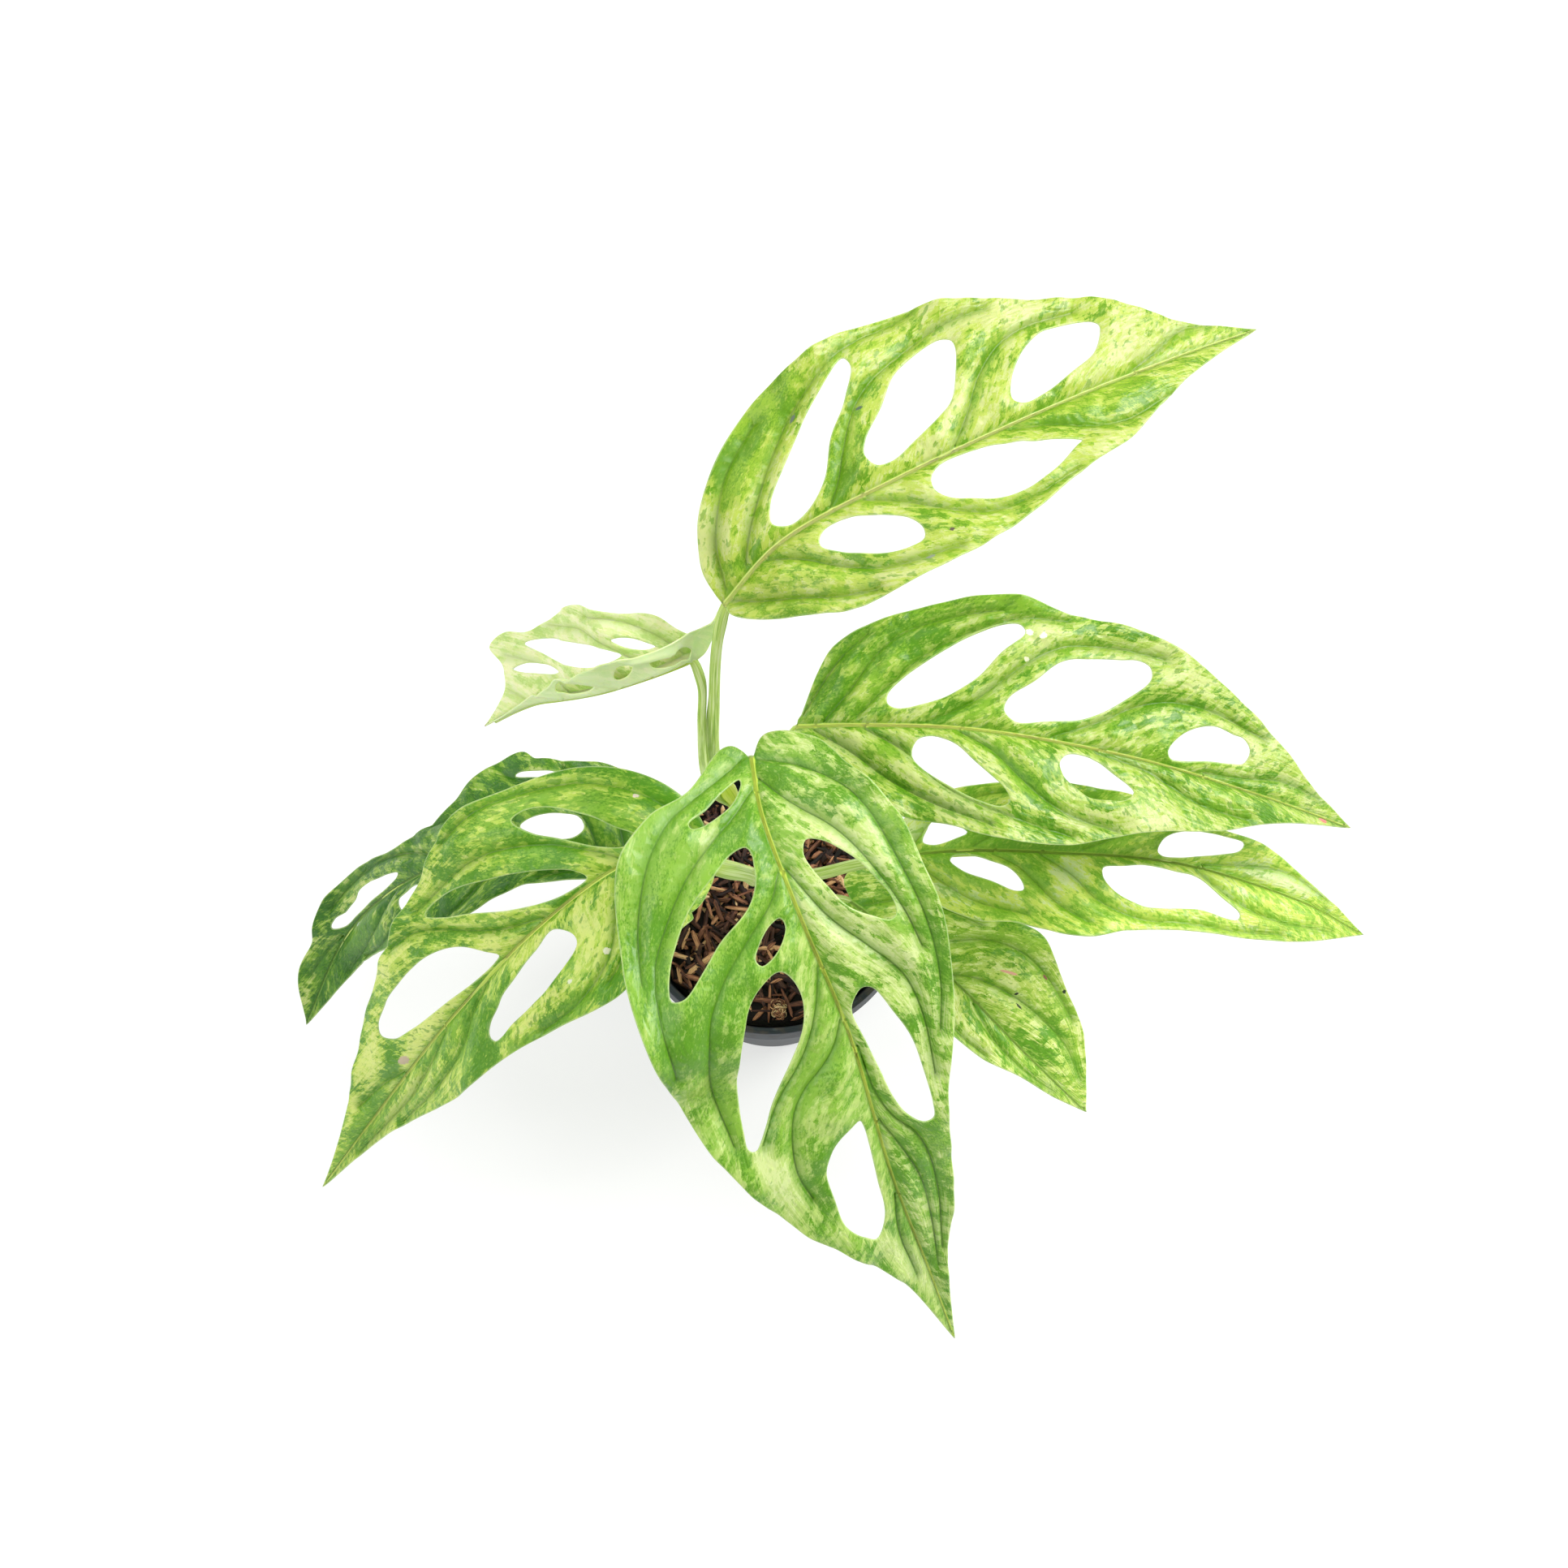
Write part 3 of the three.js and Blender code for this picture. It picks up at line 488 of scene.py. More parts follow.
def make_soil():
    draw = random.Random(5)
    points, faces = soil_plug()
    points = points.tolist()
    grain = [(x, y, z) for x, y, z in points]
    # The plug takes the darkest tone, as painted shade for the gaps between the chips.
    tone = [0.0] * len(points)
    for n in range(CHIP_COUNT):
        layer = n / CHIP_COUNT
        length, width = draw.uniform(*CHIP_LENGTH), draw.uniform(*CHIP_WIDTH)
        spin, heading = draw.uniform(0, 2 * math.pi), draw.uniform(0, 2 * math.pi)
        ledge = 0.75 * max(0, CHIP_DEPTH - CHIP_LAYERS * layer)
        reach = CHIP_REACH - ledge - length / 2 * abs(math.cos(heading - spin)) - width / 2
        radius = reach * draw.random() ** 0.45
        x, y = radius * math.cos(spin), radius * math.sin(spin)
        steep = 0.35 if layer < 0.85 else 0.22
        turn = turn_matrix(draw.uniform(-0.9, 0.9), draw.gauss(0, steep), heading)
        centre = np.array([x, y, soil_height(x, y) - CHIP_DEPTH + CHIP_LAYERS * layer])
        centres, sections = bark_chip(draw, length, width)
        # Chips lower in the heap get a darker tone, as painted shade under the ones above; a few are light
        # tan.
        shade = min(0.9, max(0.04, draw.gauss(0.2 + 0.2 * layer, 0.2)))
        if draw.random() < 0.06:
            shade = draw.uniform(0.75, 0.92)
        chip_points, chip_faces = rod(centres, sections, len(points))
        start = draw.uniform(0, 400)
        for point in chip_points:
            grain.append((point[0] + start, point[1] + start, point[2] + start))
            tone.append(shade)
            points.append((turn @ point + centre).tolist())
        faces += chip_faces
    for _ in range(FIBRE_COUNT):
        spin, tilt = draw.uniform(0, 2 * math.pi), math.asin(draw.uniform(-0.3, 1))
        away = np.array(
            [math.cos(spin) * math.cos(tilt), math.sin(spin) * math.cos(tilt), math.sin(tilt)]
        )
        middle = np.array([*FIBRE_PLACE, SOIL_TOP + 1.6]) + away * FIBRE_BALL * draw.uniform(0.2, 1.1)
        side = np.cross(away, (draw.gauss(0, 1), draw.gauss(0, 1), draw.gauss(0, 1)))
        side /= np.linalg.norm(side)
        thick = np.cross(away, side) * FIBRE_THICKNESS
        reach, centres, sections = draw.uniform(0.8, 1.9), [], []
        for share in np.linspace(-1, 1, 6):
            centre = middle + side * reach * share - away * 0.35 * (reach * share) ** 2
            centres.append(centre)
            sections.append([centre + thick, centre + away * FIBRE_THICKNESS, centre - thick])
        fibre_points, fibre_faces = rod(centres, sections, len(points))
        points += [p.tolist() for p in fibre_points]
        grain += [p.tolist() for p in fibre_points]
        tone += [draw.uniform(0.35, 1.15)] * len(fibre_points)
        faces += fibre_faces
    marks = {"grain": grain, "tone": tone}
    add_piece("soil", points, faces, [bark_mix()], marks=marks)


make_soil()


# The stem is a short green vine shoot that leans to the back left. It is smooth and fleshy, with
# low rings where the leaf stalks clasp it, and its foot stands in the mix.
STEM_RADIUS = 2.7
STEM_SIDES = 20
STEM_PATH = [(5, -3, 48), (4, -2, 73), (1, 2, 100), (-5, 6, 130), (-12, 10, 156), (-15, 13, 163)]
STEM_NODES = (0.18, 0.36, 0.5, 0.62, 0.74, 0.86, 0.95)
NODE_WIDTH = 0.012
NODE_SWELL = 0.32
NODE_DIP = 0.15
RIB_COLOUR = plain(182, 208, 52)


def smooth_line(points, cuts=24, closed=False):
    """A smooth line through points, as many close ones."""
    points = np.array(points, float)
    if closed:
        before, start, end, after = (np.roll(points, n, 0) for n in (1, 0, -1, -2))
    else:
        start, end = points[:-1], points[1:]
        before = np.vstack([2 * points[0] - points[1], points[:-2]])
        after = np.vstack([points[2:], 2 * points[-1] - points[-2]])
    pairs = ((before, start), (start, end), (end, after))
    d0, d1, d2 = (np.linalg.norm(b - a, axis=1)[:, None] ** 0.5 for a, b in pairs)
    leave = ((start - before) / d0 - (end - before) / (d0 + d1) + (end - start) / d1) * d1
    arrive = ((end - start) / d1 - (after - start) / (d1 + d2) + (after - end) / d2) * d1
    line = []
    for share in np.arange(cuts) / cuts:
        line.append(
            start
            + leave * share
            + (-3 * start + 3 * end - 2 * leave - arrive) * share**2
            + (2 * start - 2 * end + leave + arrive) * share**3
        )
    line = np.array(line).transpose(1, 0, 2).reshape(-1, points.shape[1])
    return line if closed else np.vstack([line, points[-1]])


def way_along(line):
    """How far along a line each of its points lies."""
    return np.concatenate([[0], np.cumsum(np.linalg.norm(np.diff(line, axis=0), axis=1))])


def even_line(line, step):
    """The same line in even steps of about this length."""
    way = way_along(line)
    stops = np.linspace(0, way[-1], max(2, round(way[-1] / step) + 1))
    return np.stack([np.interp(stops, way, line[:, n]) for n in range(line.shape[1])], axis=1)


def unit(vectors):
    """The same directions, each of length 1."""
    return vectors / np.linalg.norm(vectors, axis=-1, keepdims=True)


def half_turned(turns):
    """The same turns, from half a turn back to half a turn on."""
    return (turns + np.pi) % (2 * np.pi) - np.pi


def swept(line, first_up, radius_at, sides):
    """Rings of points round a line. radius_at(share, turn) is the radius, with turn 0 on the
    side that first_up names at the line's far end; the rings never twist from there."""
    ahead = unit(np.gradient(line, axis=0))
    up = np.array(first_up, float)
    ups = []
    for forward in ahead[::-1]:
        up = up - forward * (up @ forward)
        up /= np.linalg.norm(up)
        ups.append(up)
    ups = np.array(ups[::-1])
    left = np.cross(ups, ahead)
    turns = 2 * np.pi * np.arange(sides) / sides
    share = way_along(line) / way_along(line)[-1]
    radius = radius_at(share[:, None], half_turned(turns[None]))
    rings = (
        line[:, None]
        + ups[:, None] * (radius * np.cos(turns))[..., None]
        + left[:, None] * (radius * np.sin(turns))[..., None]
    )
    return rings, turns, way_along(line)


def stalk_skin(name, seed, pale, mid, dark):
    """The skin of a stalk, with fine stripes along it, and brighter where it is a blade's rib."""
    material, start, shader = new_material(
        name,
        Subsurface_Weight=0.15,
        Subsurface_Radius=(1.0, 1.2, 0.4),
        Subsurface_Scale=0.8 * MM,
        Specular_IOR_Level=0.45,
    )
    along = start.mark("leaf_way")
    on_rib = start.mark("light").part(0)
    stripes = along.noise((1.7, 0.03, 1), seed, detail=3, roughness=0.6)
    threads = along.noise((5.0, 0.12, 1), seed + 3, detail=2)
    blotch = along.noise((0.35, 0.09, 1), seed + 5, detail=3)
    tone = (stripes * 0.7 + threads * 0.3).ramp((0.34, dark), (0.48, mid), (0.62, pale))
    tone = (blotch.rise(0.5, 0.7) * 0.45).mix(tone, pale)
    tone = (on_rib * 0.9).mix(tone, RIB_COLOUR)
    feed(
        shader,
        Base_Color=tone,
        Roughness=0.38 + threads * 0.12,
        Normal=bumped(stripes + threads * 0.4, 0.12),
    )
    return material


def make_stem():
    line = even_line(smooth_line(STEM_PATH), 1.0)

    def radius_at(share, turn):
        radius = STEM_RADIUS * (1.1 - 0.2 * share)
        for node in STEM_NODES:
            radius = radius + NODE_SWELL * np.exp(-(((share - node) / NODE_WIDTH) ** 2))
            radius = radius - NODE_DIP * np.exp(-(((share - node - 0.02) / NODE_WIDTH) ** 2))
        return radius + 0.06 * np.cos(5 * turn + 9 * share)

    rings, turns, way = swept(line, (0, 1, 0.4), radius_at, STEM_SIDES)
    points, faces = rod(line, list(rings))
    grain = [(turn * STEM_RADIUS, w, 0) for w in way for turn in turns]
    grain = [(0, 0, 0), *grain, (0, way[-1], 0)]
    pale, mid, dark = plain(232, 242, 108), plain(204, 226, 66), plain(156, 192, 48)
    skin = stalk_skin("green_stem", 1, pale, mid, dark)
    marks = {"leaf_way": grain, "light": [(0, 0, 0)] * len(grain)}
    add_piece("stem", points, faces, [skin], marks=marks)


make_stem()


# leaf_top is the highest leaf, at the back. Each leaf is one thin waxy blade, pierced between its
# side veins, on a fleshy stalk that runs on under it as its rib. The blade is sunk along its rib
# and its side veins and swells between them. On this one most of the green has turned to lime.
#
# The mesh of a blade has rows of points along its edges and its veins, and a grid between them.
EDGE_STEP = 0.9
EDGE_ROW = 0.45
VEIN_STEP = 0.9
VEIN_ROWS = (0, 0.5, -0.5, 1.1, -1.1)
VEIN_TO_EDGE = 0.6
GRID_STEP = 1.35
GRID_TO_EDGE = 1.0
GRID_TO_VEIN = 1.6
OVERHANG = 12
# A blade swells by PUFF from its veins to the middle between them, and is flat at its tip.
HALF_THICKNESS = 0.25
RIM_BULGE = 0.16
PUFF = 3.4
PUFF_REACH = 4.5
GROOVE = 0.24
GROOVE_WIDTH = 0.6
EDGE_DIP = 0.45
EDGE_DIP_REACH = 1.3
RIPPLES = 9
RIPPLE_LENGTH = (7, 22)
RIPPLE_HEIGHT = 0.013
TIP_LENGTH = 45
RIB_GROOVE = 0.6
RIB_GROOVE_WIDTH = 1.2
RIB_RIDGE = 0.7
RIB_RIDGE_WIDTH = 0.5
RIB_TAPER = 0.7
RIB_REACH = 0.96
RIB_TIP_RADIUS = 0.5
RIB_SHOWS = (0.04, -0.2)
STALK_SIDES = 28
STALK_TONES = (plain(222, 234, 172), plain(180, 208, 100), plain(124, 164, 56))
VEIN_SLANT = math.radians(35)
# The pattern of a blade's right half is taken this far away, so that its halves differ.
RIGHT_HALF = 40
# The field that follows the side veins is set at knots in these steps along the rib and the
# veins, and its ways are counted in hundreds of millimetres.
RIB_KNOTS = 8.0
VEIN_KNOTS = 7
VEIN_LEAN = 0.7
FIELD_UNIT = 100
FAR = 1e3


def between(ends, share):
    """The value at this share of the way from one end to the other."""
    return ends[0] + (ends[1] - ends[0]) * share


class Blade:
    """A leaf's blade. It is laid flat as along, the way from its base, and beside, the way to the
    left of its rib, and then bent to its shape in millimetres."""

    def __init__(self, rib, wave, left, right):
        self.line = smooth_line(rib, 120)
        self.way = way_along(self.line)
        self.length = self.way[-1]
        self.wave = wave
        self.halves = {1: left, -1: right}
        for half in self.halves.values():
            half["vein_lines"] = [
                even_line(smooth_line(vein), VEIN_STEP) for vein in half["veins"]
            ]

    def frame(self, along):
        """Points on the rib, the directions along it, to its left and up from the blade, and
        their share of its length."""
        here = np.clip(along, 0, self.length)
        ahead = np.clip(here + 1, 0, self.length)
        back = np.clip(here - 1, 0, self.length)
        point, end, start = (
            np.stack([np.interp(way, self.way, self.line[:, n]) for n in range(3)], axis=-1)
            for way in (here, ahead, back)
        )
        forward = unit(end - start)
        point = point + forward * (along - here)[..., None]
        up = unit(np.array([0, 0, 1.0]) - forward * forward[..., 2:])
        return point, forward, np.cross(up, forward), up, here / self.length

    def place(self, along, beside, lift):
        """Flat points bent to their places. Each half stands up from the rib by its fold, in
        degrees, and curls down again by its curl, in degrees for each 10 mm."""
        point, _, left, up, share = self.frame(along)
        side = np.where(beside >= 0, 1, -1)
        fold, curl = (
            np.radians(np.where(side > 0, *(between(self.halves[s][bend], share) for s in (1, -1))))
            for bend in ("fold", "curl")
        )
        curl = curl / 10
        angle = fold - curl * np.abs(beside)
        across = (np.sin(fold) - np.sin(angle)) / curl - lift * np.sin(angle)
        rise = (np.cos(angle) - np.cos(fold)) / curl + lift * np.cos(angle)
        return point + left * (side * across)[..., None] + up * rise[..., None]


def in_parts(points, size=2000):
    """The numbers of many points in parts, so that a table over each stays small."""
    return np.array_split(np.arange(len(points)), max(1, len(points) // size))


def gap_to_lines(points, lines, closed=False):
    """How far each flat point lies from the nearest of some lines."""
    nearest = np.full(len(points), FAR)
    for line in lines:
        start = np.array(line)
        step = (np.roll(start, -1, 0) if closed else start[1:]) - (start if closed else start[:-1])
        start = start if closed else start[:-1]
        for rows in in_parts(points):
            to = points[rows, None] - start[None]
            share = np.clip((to * step).sum(-1) / (step * step).sum(-1), 0, 1)
            gap = np.linalg.norm(to - share[..., None] * step, axis=-1).min(1)
            nearest[rows] = np.minimum(nearest[rows], gap)
    return nearest


def on_blade(points, rings):
    """True for each flat point that lies inside the outline and in none of the holes."""
    inside = np.zeros(len(points), bool)
    for ring in rings:
        (x0, y0), (x1, y1) = ring.T, np.roll(ring, -1, 0).T
        for rows in in_parts(points):
            x, y = points[rows, :1], points[rows, 1:]
            over = (y0 > y) != (y1 > y)
            with np.errstate(divide="ignore", invalid="ignore"):
                crossed = over & (x < (x1 - x0) * (y - y0) / (y1 - y0) + x0)
            inside[rows] ^= crossed.sum(1) % 2 == 1
    return inside


def hole_ring(hole, side):
    """The smooth outline of a hole that is traced for the left half, on its own side."""
    ring = smooth_line(hole, closed=True)
    ring = even_line(np.vstack([ring, ring[:1]]), EDGE_STEP)[:-1]
    return ring * [1, side]


def flat_rings(blade):
    """The flat outline of the blade and those of its holes."""
    right, left = (
        even_line(smooth_line(blade.halves[side]["edge"]), EDGE_STEP) for side in (-1, 1)
    )
    outline = np.vstack([right * [1, -1], left[1:-1][::-1]])
    holes = [hole_ring(hole, side) for side in (1, -1) for hole in blade.halves[side]["holes"]]
    return [outline, *holes]


def to_right(steps):
    """The flat direction to the right of each step."""
    return unit(np.stack([steps[:, 1], -steps[:, 0]], 1))


def outward(ring):
    """For each point of a ring, the flat direction out of the ring."""
    aside = to_right(np.roll(ring, -1, 0) - np.roll(ring, 1, 0))
    area = (ring[:, 0] * np.roll(ring[:, 1], -1) - ring[:, 1] * np.roll(ring[:, 0], -1)).sum()
    return aside if area > 0 else -aside


def flat_mesh(blade, rings):
    """The flat blade as triangles: finer beside the rib, the side veins and the edges."""
    lines = [even_line(np.array([(-2, 0), (blade.length, 0)]), VEIN_STEP)]
    for side in (1, -1):
        lines += [vein * [1, side] for vein in blade.halves[side]["vein_lines"]]
    rows = []
    for line in lines:
        aside = to_right(np.gradient(line, axis=0))
        rows += [line - aside * offset for offset in VEIN_ROWS]
    veins = np.vstack(rows)
    inner = [rings[0] - outward(rings[0]) * EDGE_ROW]
    inner += [hole + outward(hole) * EDGE_ROW for hole in rings[1:]]
    inner = np.vstack(inner)
    reach = np.abs(rings[0][:, 1]).max()
    height = GRID_STEP * math.sqrt(3) / 2
    grid = [
        (x, row * height)
        for row in range(-math.ceil(reach / height), math.ceil(reach / height) + 1)
        for x in np.arange(-OVERHANG + (row % 2) * GRID_STEP / 2, blade.length, GRID_STEP)
    ]
    grid = np.array(grid)
    veins = veins[on_blade(veins, rings)]
    veins = veins[gap_to_lines(veins, rings, closed=True) > VEIN_TO_EDGE]
    inner = inner[on_blade(inner, rings)]
    grid = grid[on_blade(grid, rings)]
    grid = grid[gap_to_lines(grid, rings, closed=True) > GRID_TO_EDGE]
    grid = grid[gap_to_lines(grid, lines) > GRID_TO_VEIN]
    points = np.vstack([*rings, veins, inner, grid])
    edges, first = [], 0
    for ring in rings:
        edges += [(first + i, first + (i + 1) % len(ring)) for i in range(len(ring))]
        first += len(ring)
    found = geometry.delaunay_2d_cdt([Vector(p) for p in points], edges, [], 0, 1e-6)
    flat = np.array([tuple(p) for p in found[0]])
    triangles = np.array(found[2])
    centres = flat[triangles].mean(1)
    triangles = triangles[on_blade(centres, rings)]
    a, b, c = (flat[triangles[:, n]] for n in range(3))
    turned_over = np.cross(b - a, c - a) < 0
    triangles[turned_over] = triangles[turned_over][:, ::-1]
    used = np.unique(triangles)
    renamed = np.full(len(flat), -1)
    renamed[used] = np.arange(len(used))
    return flat[used], renamed[triangles]


def field_over(blade, flat):
    """For each flat point, where on the rib the side vein through it would start: a smooth field
    that is even along the rib and stays the same along each side vein."""

    def bent(gap):
        return np.where(gap > 1e-9, gap**2 * np.log(np.maximum(gap, 1e-9)), 0)

    result = np.zeros(len(flat))
    for side in (1, -1):
        values = np.arange(-OVERHANG, blade.length + OVERHANG, RIB_KNOTS).tolist()
        knots = [(along, 0) for along in values]
        for vein in blade.halves[side]["veins"]:
            line = even_line(smooth_line(vein), VEIN_KNOTS)
            knots += line.tolist()
            values += [vein[0][0] - VEIN_LEAN * vein[0][1]] * len(line)
        knots, values = np.array(knots) / FIELD_UNIT, np.array(values)
        count = len(knots)
        level = np.hstack([np.ones((count, 1)), knots])
        matrix = np.zeros((count + 3, count + 3))
        matrix[:count, :count] = bent(np.linalg.norm(knots[:, None] - knots[None], axis=-1))
        matrix[:count, :count] += 1e-4 * np.eye(count)
        matrix[:count, count:] = level
        matrix[count:, :count] = level.T
        weights = np.linalg.solve(matrix, np.concatenate([values, [0, 0, 0]]))
        mine = flat[:, 1] * side >= 0
        here = flat[mine] * [1, side] / FIELD_UNIT
        basis = bent(np.linalg.norm(here[:, None] - knots[None], axis=-1))
        level = np.hstack([np.ones((len(here), 1)), here])
        result[mine] = basis @ weights[:count] + level @ weights[count:]
    return result


def blade_relief(blade, flat, edge_gap, seed):
    """How far each flat point is raised, and how far it lies from the nearest side vein."""
    along, beside = flat.T
    out = np.abs(beside)
    gap = np.full(len(flat), FAR)
    for side in (1, -1):
        mine = beside * side >= 0
        gap[mine] = gap_to_lines(flat[mine] * [1, side], blade.halves[side]["vein_lines"])
    tip = np.clip((blade.length - along) / TIP_LENGTH, 0, 1)
    swell = 1 - np.exp(-np.minimum(gap, out) / PUFF_REACH)
    lift = PUFF * (swell - 0.5) * tip
    lift += blade.wave[0] * np.sin(2 * np.pi * along / blade.wave[1]) * (out / 30) ** 2
    lift -= GROOVE * np.exp(-((gap / GROOVE_WIDTH) ** 2)) * tip
    rib_size = 1 - RIB_TAPER * np.clip(along / blade.length, 0, 1)
    ridge = RIB_RIDGE * np.exp(-((out / RIB_RIDGE_WIDTH) ** 2))
    groove = RIB_GROOVE * np.exp(-((out / RIB_GROOVE_WIDTH) ** 2))
    lift += (ridge - groove) * rib_size
    lift -= EDGE_DIP * np.exp(-edge_gap / EDGE_DIP_REACH) * tip
    draw = random.Random(seed)
    for _ in range(RIPPLES):
        length = draw.uniform(*RIPPLE_LENGTH)
        heading, start = draw.uniform(0, math.pi), draw.uniform(0, 6.3)
        way = along * math.cos(heading) + beside * math.sin(heading)
        wave = np.sin(2 * np.pi * way / length + start)
        lift += RIPPLE_HEIGHT * length * wave * np.clip(np.minimum(gap, out) / 5, 0, 1) * tip
    return lift, gap


def point_normals(points, triangles):
    """The direction in which the mesh faces at each of its points."""
    a, b, c = (points[triangles[:, n]] for n in range(3))
    across = np.cross(b - a, c - a)
    normals = np.zeros_like(points)
    for n in range(3):
        np.add.at(normals, triangles[:, n], across)
    return normals / np.maximum(np.linalg.norm(normals, axis=1, keepdims=True), 1e-12)


def blade_mesh(blade, patches, seed):
    """Points, faces and marks of the whole blade: upper face, lower face and a rounded rim.
    patches are soft spots where its skin is lighter or darker than elsewhere: along, beside,
    half length, half width, turn in degrees, amount."""
    rings = flat_rings(blade)
    flat, triangles = flat_mesh(blade, rings)
    edge_gap = gap_to_lines(flat, rings, closed=True)
    lift, gap = blade_relief(blade, flat, edge_gap, seed)
    middle = blade.place(flat[:, 0], flat[:, 1], lift)
    normals = point_normals(middle, triangles)
    ridge = 0.3 * np.exp(-((gap / 0.8) ** 2))
    count = len(flat)
    corners = triangles.tolist()
    faces = [*corners, *[(count + c, count + b, count + a) for a, b, c in corners]]
    pairs = {pair for a, b, c in corners for pair in ((a, b), (b, c), (c, a))}
    open_edges = sorted(pair for pair in pairs if pair[::-1] not in pairs)
    onward = dict(open_edges)
    back = {b: a for a, b in open_edges}
    rim = sorted(onward)
    number = {corner: 2 * count + n for n, corner in enumerate(rim)}
    step = flat[[onward[corner] for corner in rim]] - flat[[back[corner] for corner in rim]]
    shifted = flat[rim] + to_right(step) * RIM_BULGE
    for a, b in open_edges:
        faces.append((number[a], number[b], b, a))
        faces.append((count + a, count + b, number[b], number[a]))
    points = np.vstack(
        [
            middle + normals * HALF_THICKNESS,
            middle - normals * (HALF_THICKNESS + ridge)[:, None],
            blade.place(shifted[:, 0], shifted[:, 1], lift[rim]),
        ]
    )
    along, beside = flat.T
    out = np.abs(beside)
    half = np.where(beside >= 0, 0, RIGHT_HALF)
    light = np.zeros(count)
    for x, y, long, wide, turn, amount in patches:
        turn = math.radians(turn) * (1 if y >= 0 else -1)
        ahead = ((along - x) * math.cos(turn) + (beside - y) * math.sin(turn)) / long
        aside = ((beside - y) * math.cos(turn) - (along - x) * math.sin(turn)) / wide
        light += amount * np.exp(-((ahead**2 + aside**2) ** 1.5))
    mottle = np.where(beside >= 0, *(blade.halves[side].get("mottle", 1) for side in (1, -1)))
    fields = {
        "vein_way": np.stack([field_over(blade, flat), along + 0.6 * out, half], 1),
        "leaf_way": np.stack([*leaf_place(along, out), half], 1),
        "near": np.stack([gap, edge_gap, out], 1),
        "light": np.stack([light, mottle, np.clip(along / blade.length, 0, 1)], 1),
    }
    marks = {name: np.concatenate([field, field, field[rim]]) for name, field in fields.items()}
    marks["under"] = np.concatenate([np.zeros(count), np.ones(count), np.full(len(rim), 0.5)])
    return points, faces, marks


def stalk_mesh(blade, stalk, radii, sheath):
    """The stalk and the rib under the blade: one tapering rod with a shallow channel on its
    upper side and, from its foot up to the share called sheath, two thin wings."""
    shares = np.array([0, 0.02, 0.05, *np.linspace(0.12, RIB_REACH, 8)])
    ways = shares * blade.length
    point, _, _, up, _ = blade.frame(ways)
    radius = between((radii[1], RIB_TIP_RADIUS), shares)
    tip = np.clip((1 - shares) * blade.length / TIP_LENGTH, 0, 1)
    sunk = (RIB_GROOVE - RIB_RIDGE) * (1 - RIB_TAPER * shares) + PUFF / 2 * tip
    top = HALF_THICKNESS - sunk + between(RIB_SHOWS, shares) - 0.8 * np.exp(-ways / 10)
    rib_points = point + up * (top - radius)[:, None]
    line = even_line(smooth_line([*stalk, *rib_points.tolist()], 60), 1.5)
    total = way_along(line)[-1]
    neck = 1 - RIB_REACH * blade.length / total

    def radius_at(share, turn):
        on_stalk = np.clip(share / neck, 0, 1)
        on_rib = np.clip((share - neck) / (1 - neck), 0, 1)
        rib_radius = between((radii[1], RIB_TIP_RADIUS), on_rib)
        radius = np.where(share < neck, between(radii, on_stalk), rib_radius)
        channel = np.clip((neck - share) / neck * 6, 0, 1)
        swell = 0.16 * np.exp(-(((share - neck * 0.96) * total / 4) ** 2))
        wing = np.clip((sheath - on_stalk) / 0.12, 0, 1)
        wing = wing * (0.6 - 0.35 * on_stalk / max(sheath, 0.01))
        return radius * (
            1
            + swell
            - 0.22 * channel * np.exp(-((turn / 0.5) ** 2))
            + wing * np.exp(-(((np.abs(turn) - 0.95) / 0.16) ** 2))
        )

    rings, turns, way = swept(line, up[-1], radius_at, STALK_SIDES)
    points, faces = rod(line, list(rings))
    turns = half_turned(turns)
    grain = [(abs(turn) * radii[1], w, np.sign(turn)) for w in way for turn in turns]
    grain = [(0, 0, 0), *grain, (0, way[-1], 0)]
    on_rib = np.clip((way - neck * total) / 6, 0, 1)
    on_rib = on_rib * (1 - RIB_TAPER * np.clip(way / total - neck, 0, 1) / (1 - neck))
    rib_mark = [0, *[mark for mark in on_rib for _ in turns], 1]
    return np.array(points), faces, np.array(grain), np.array(rib_mark)


def leaf_place(along, out):
    """Flat points in the slanted ways of the leaf's pattern: along its side veins and across."""
    slant, up = math.cos(VEIN_SLANT), math.sin(VEIN_SLANT)
    return along * slant + out * up, out * slant - along * up


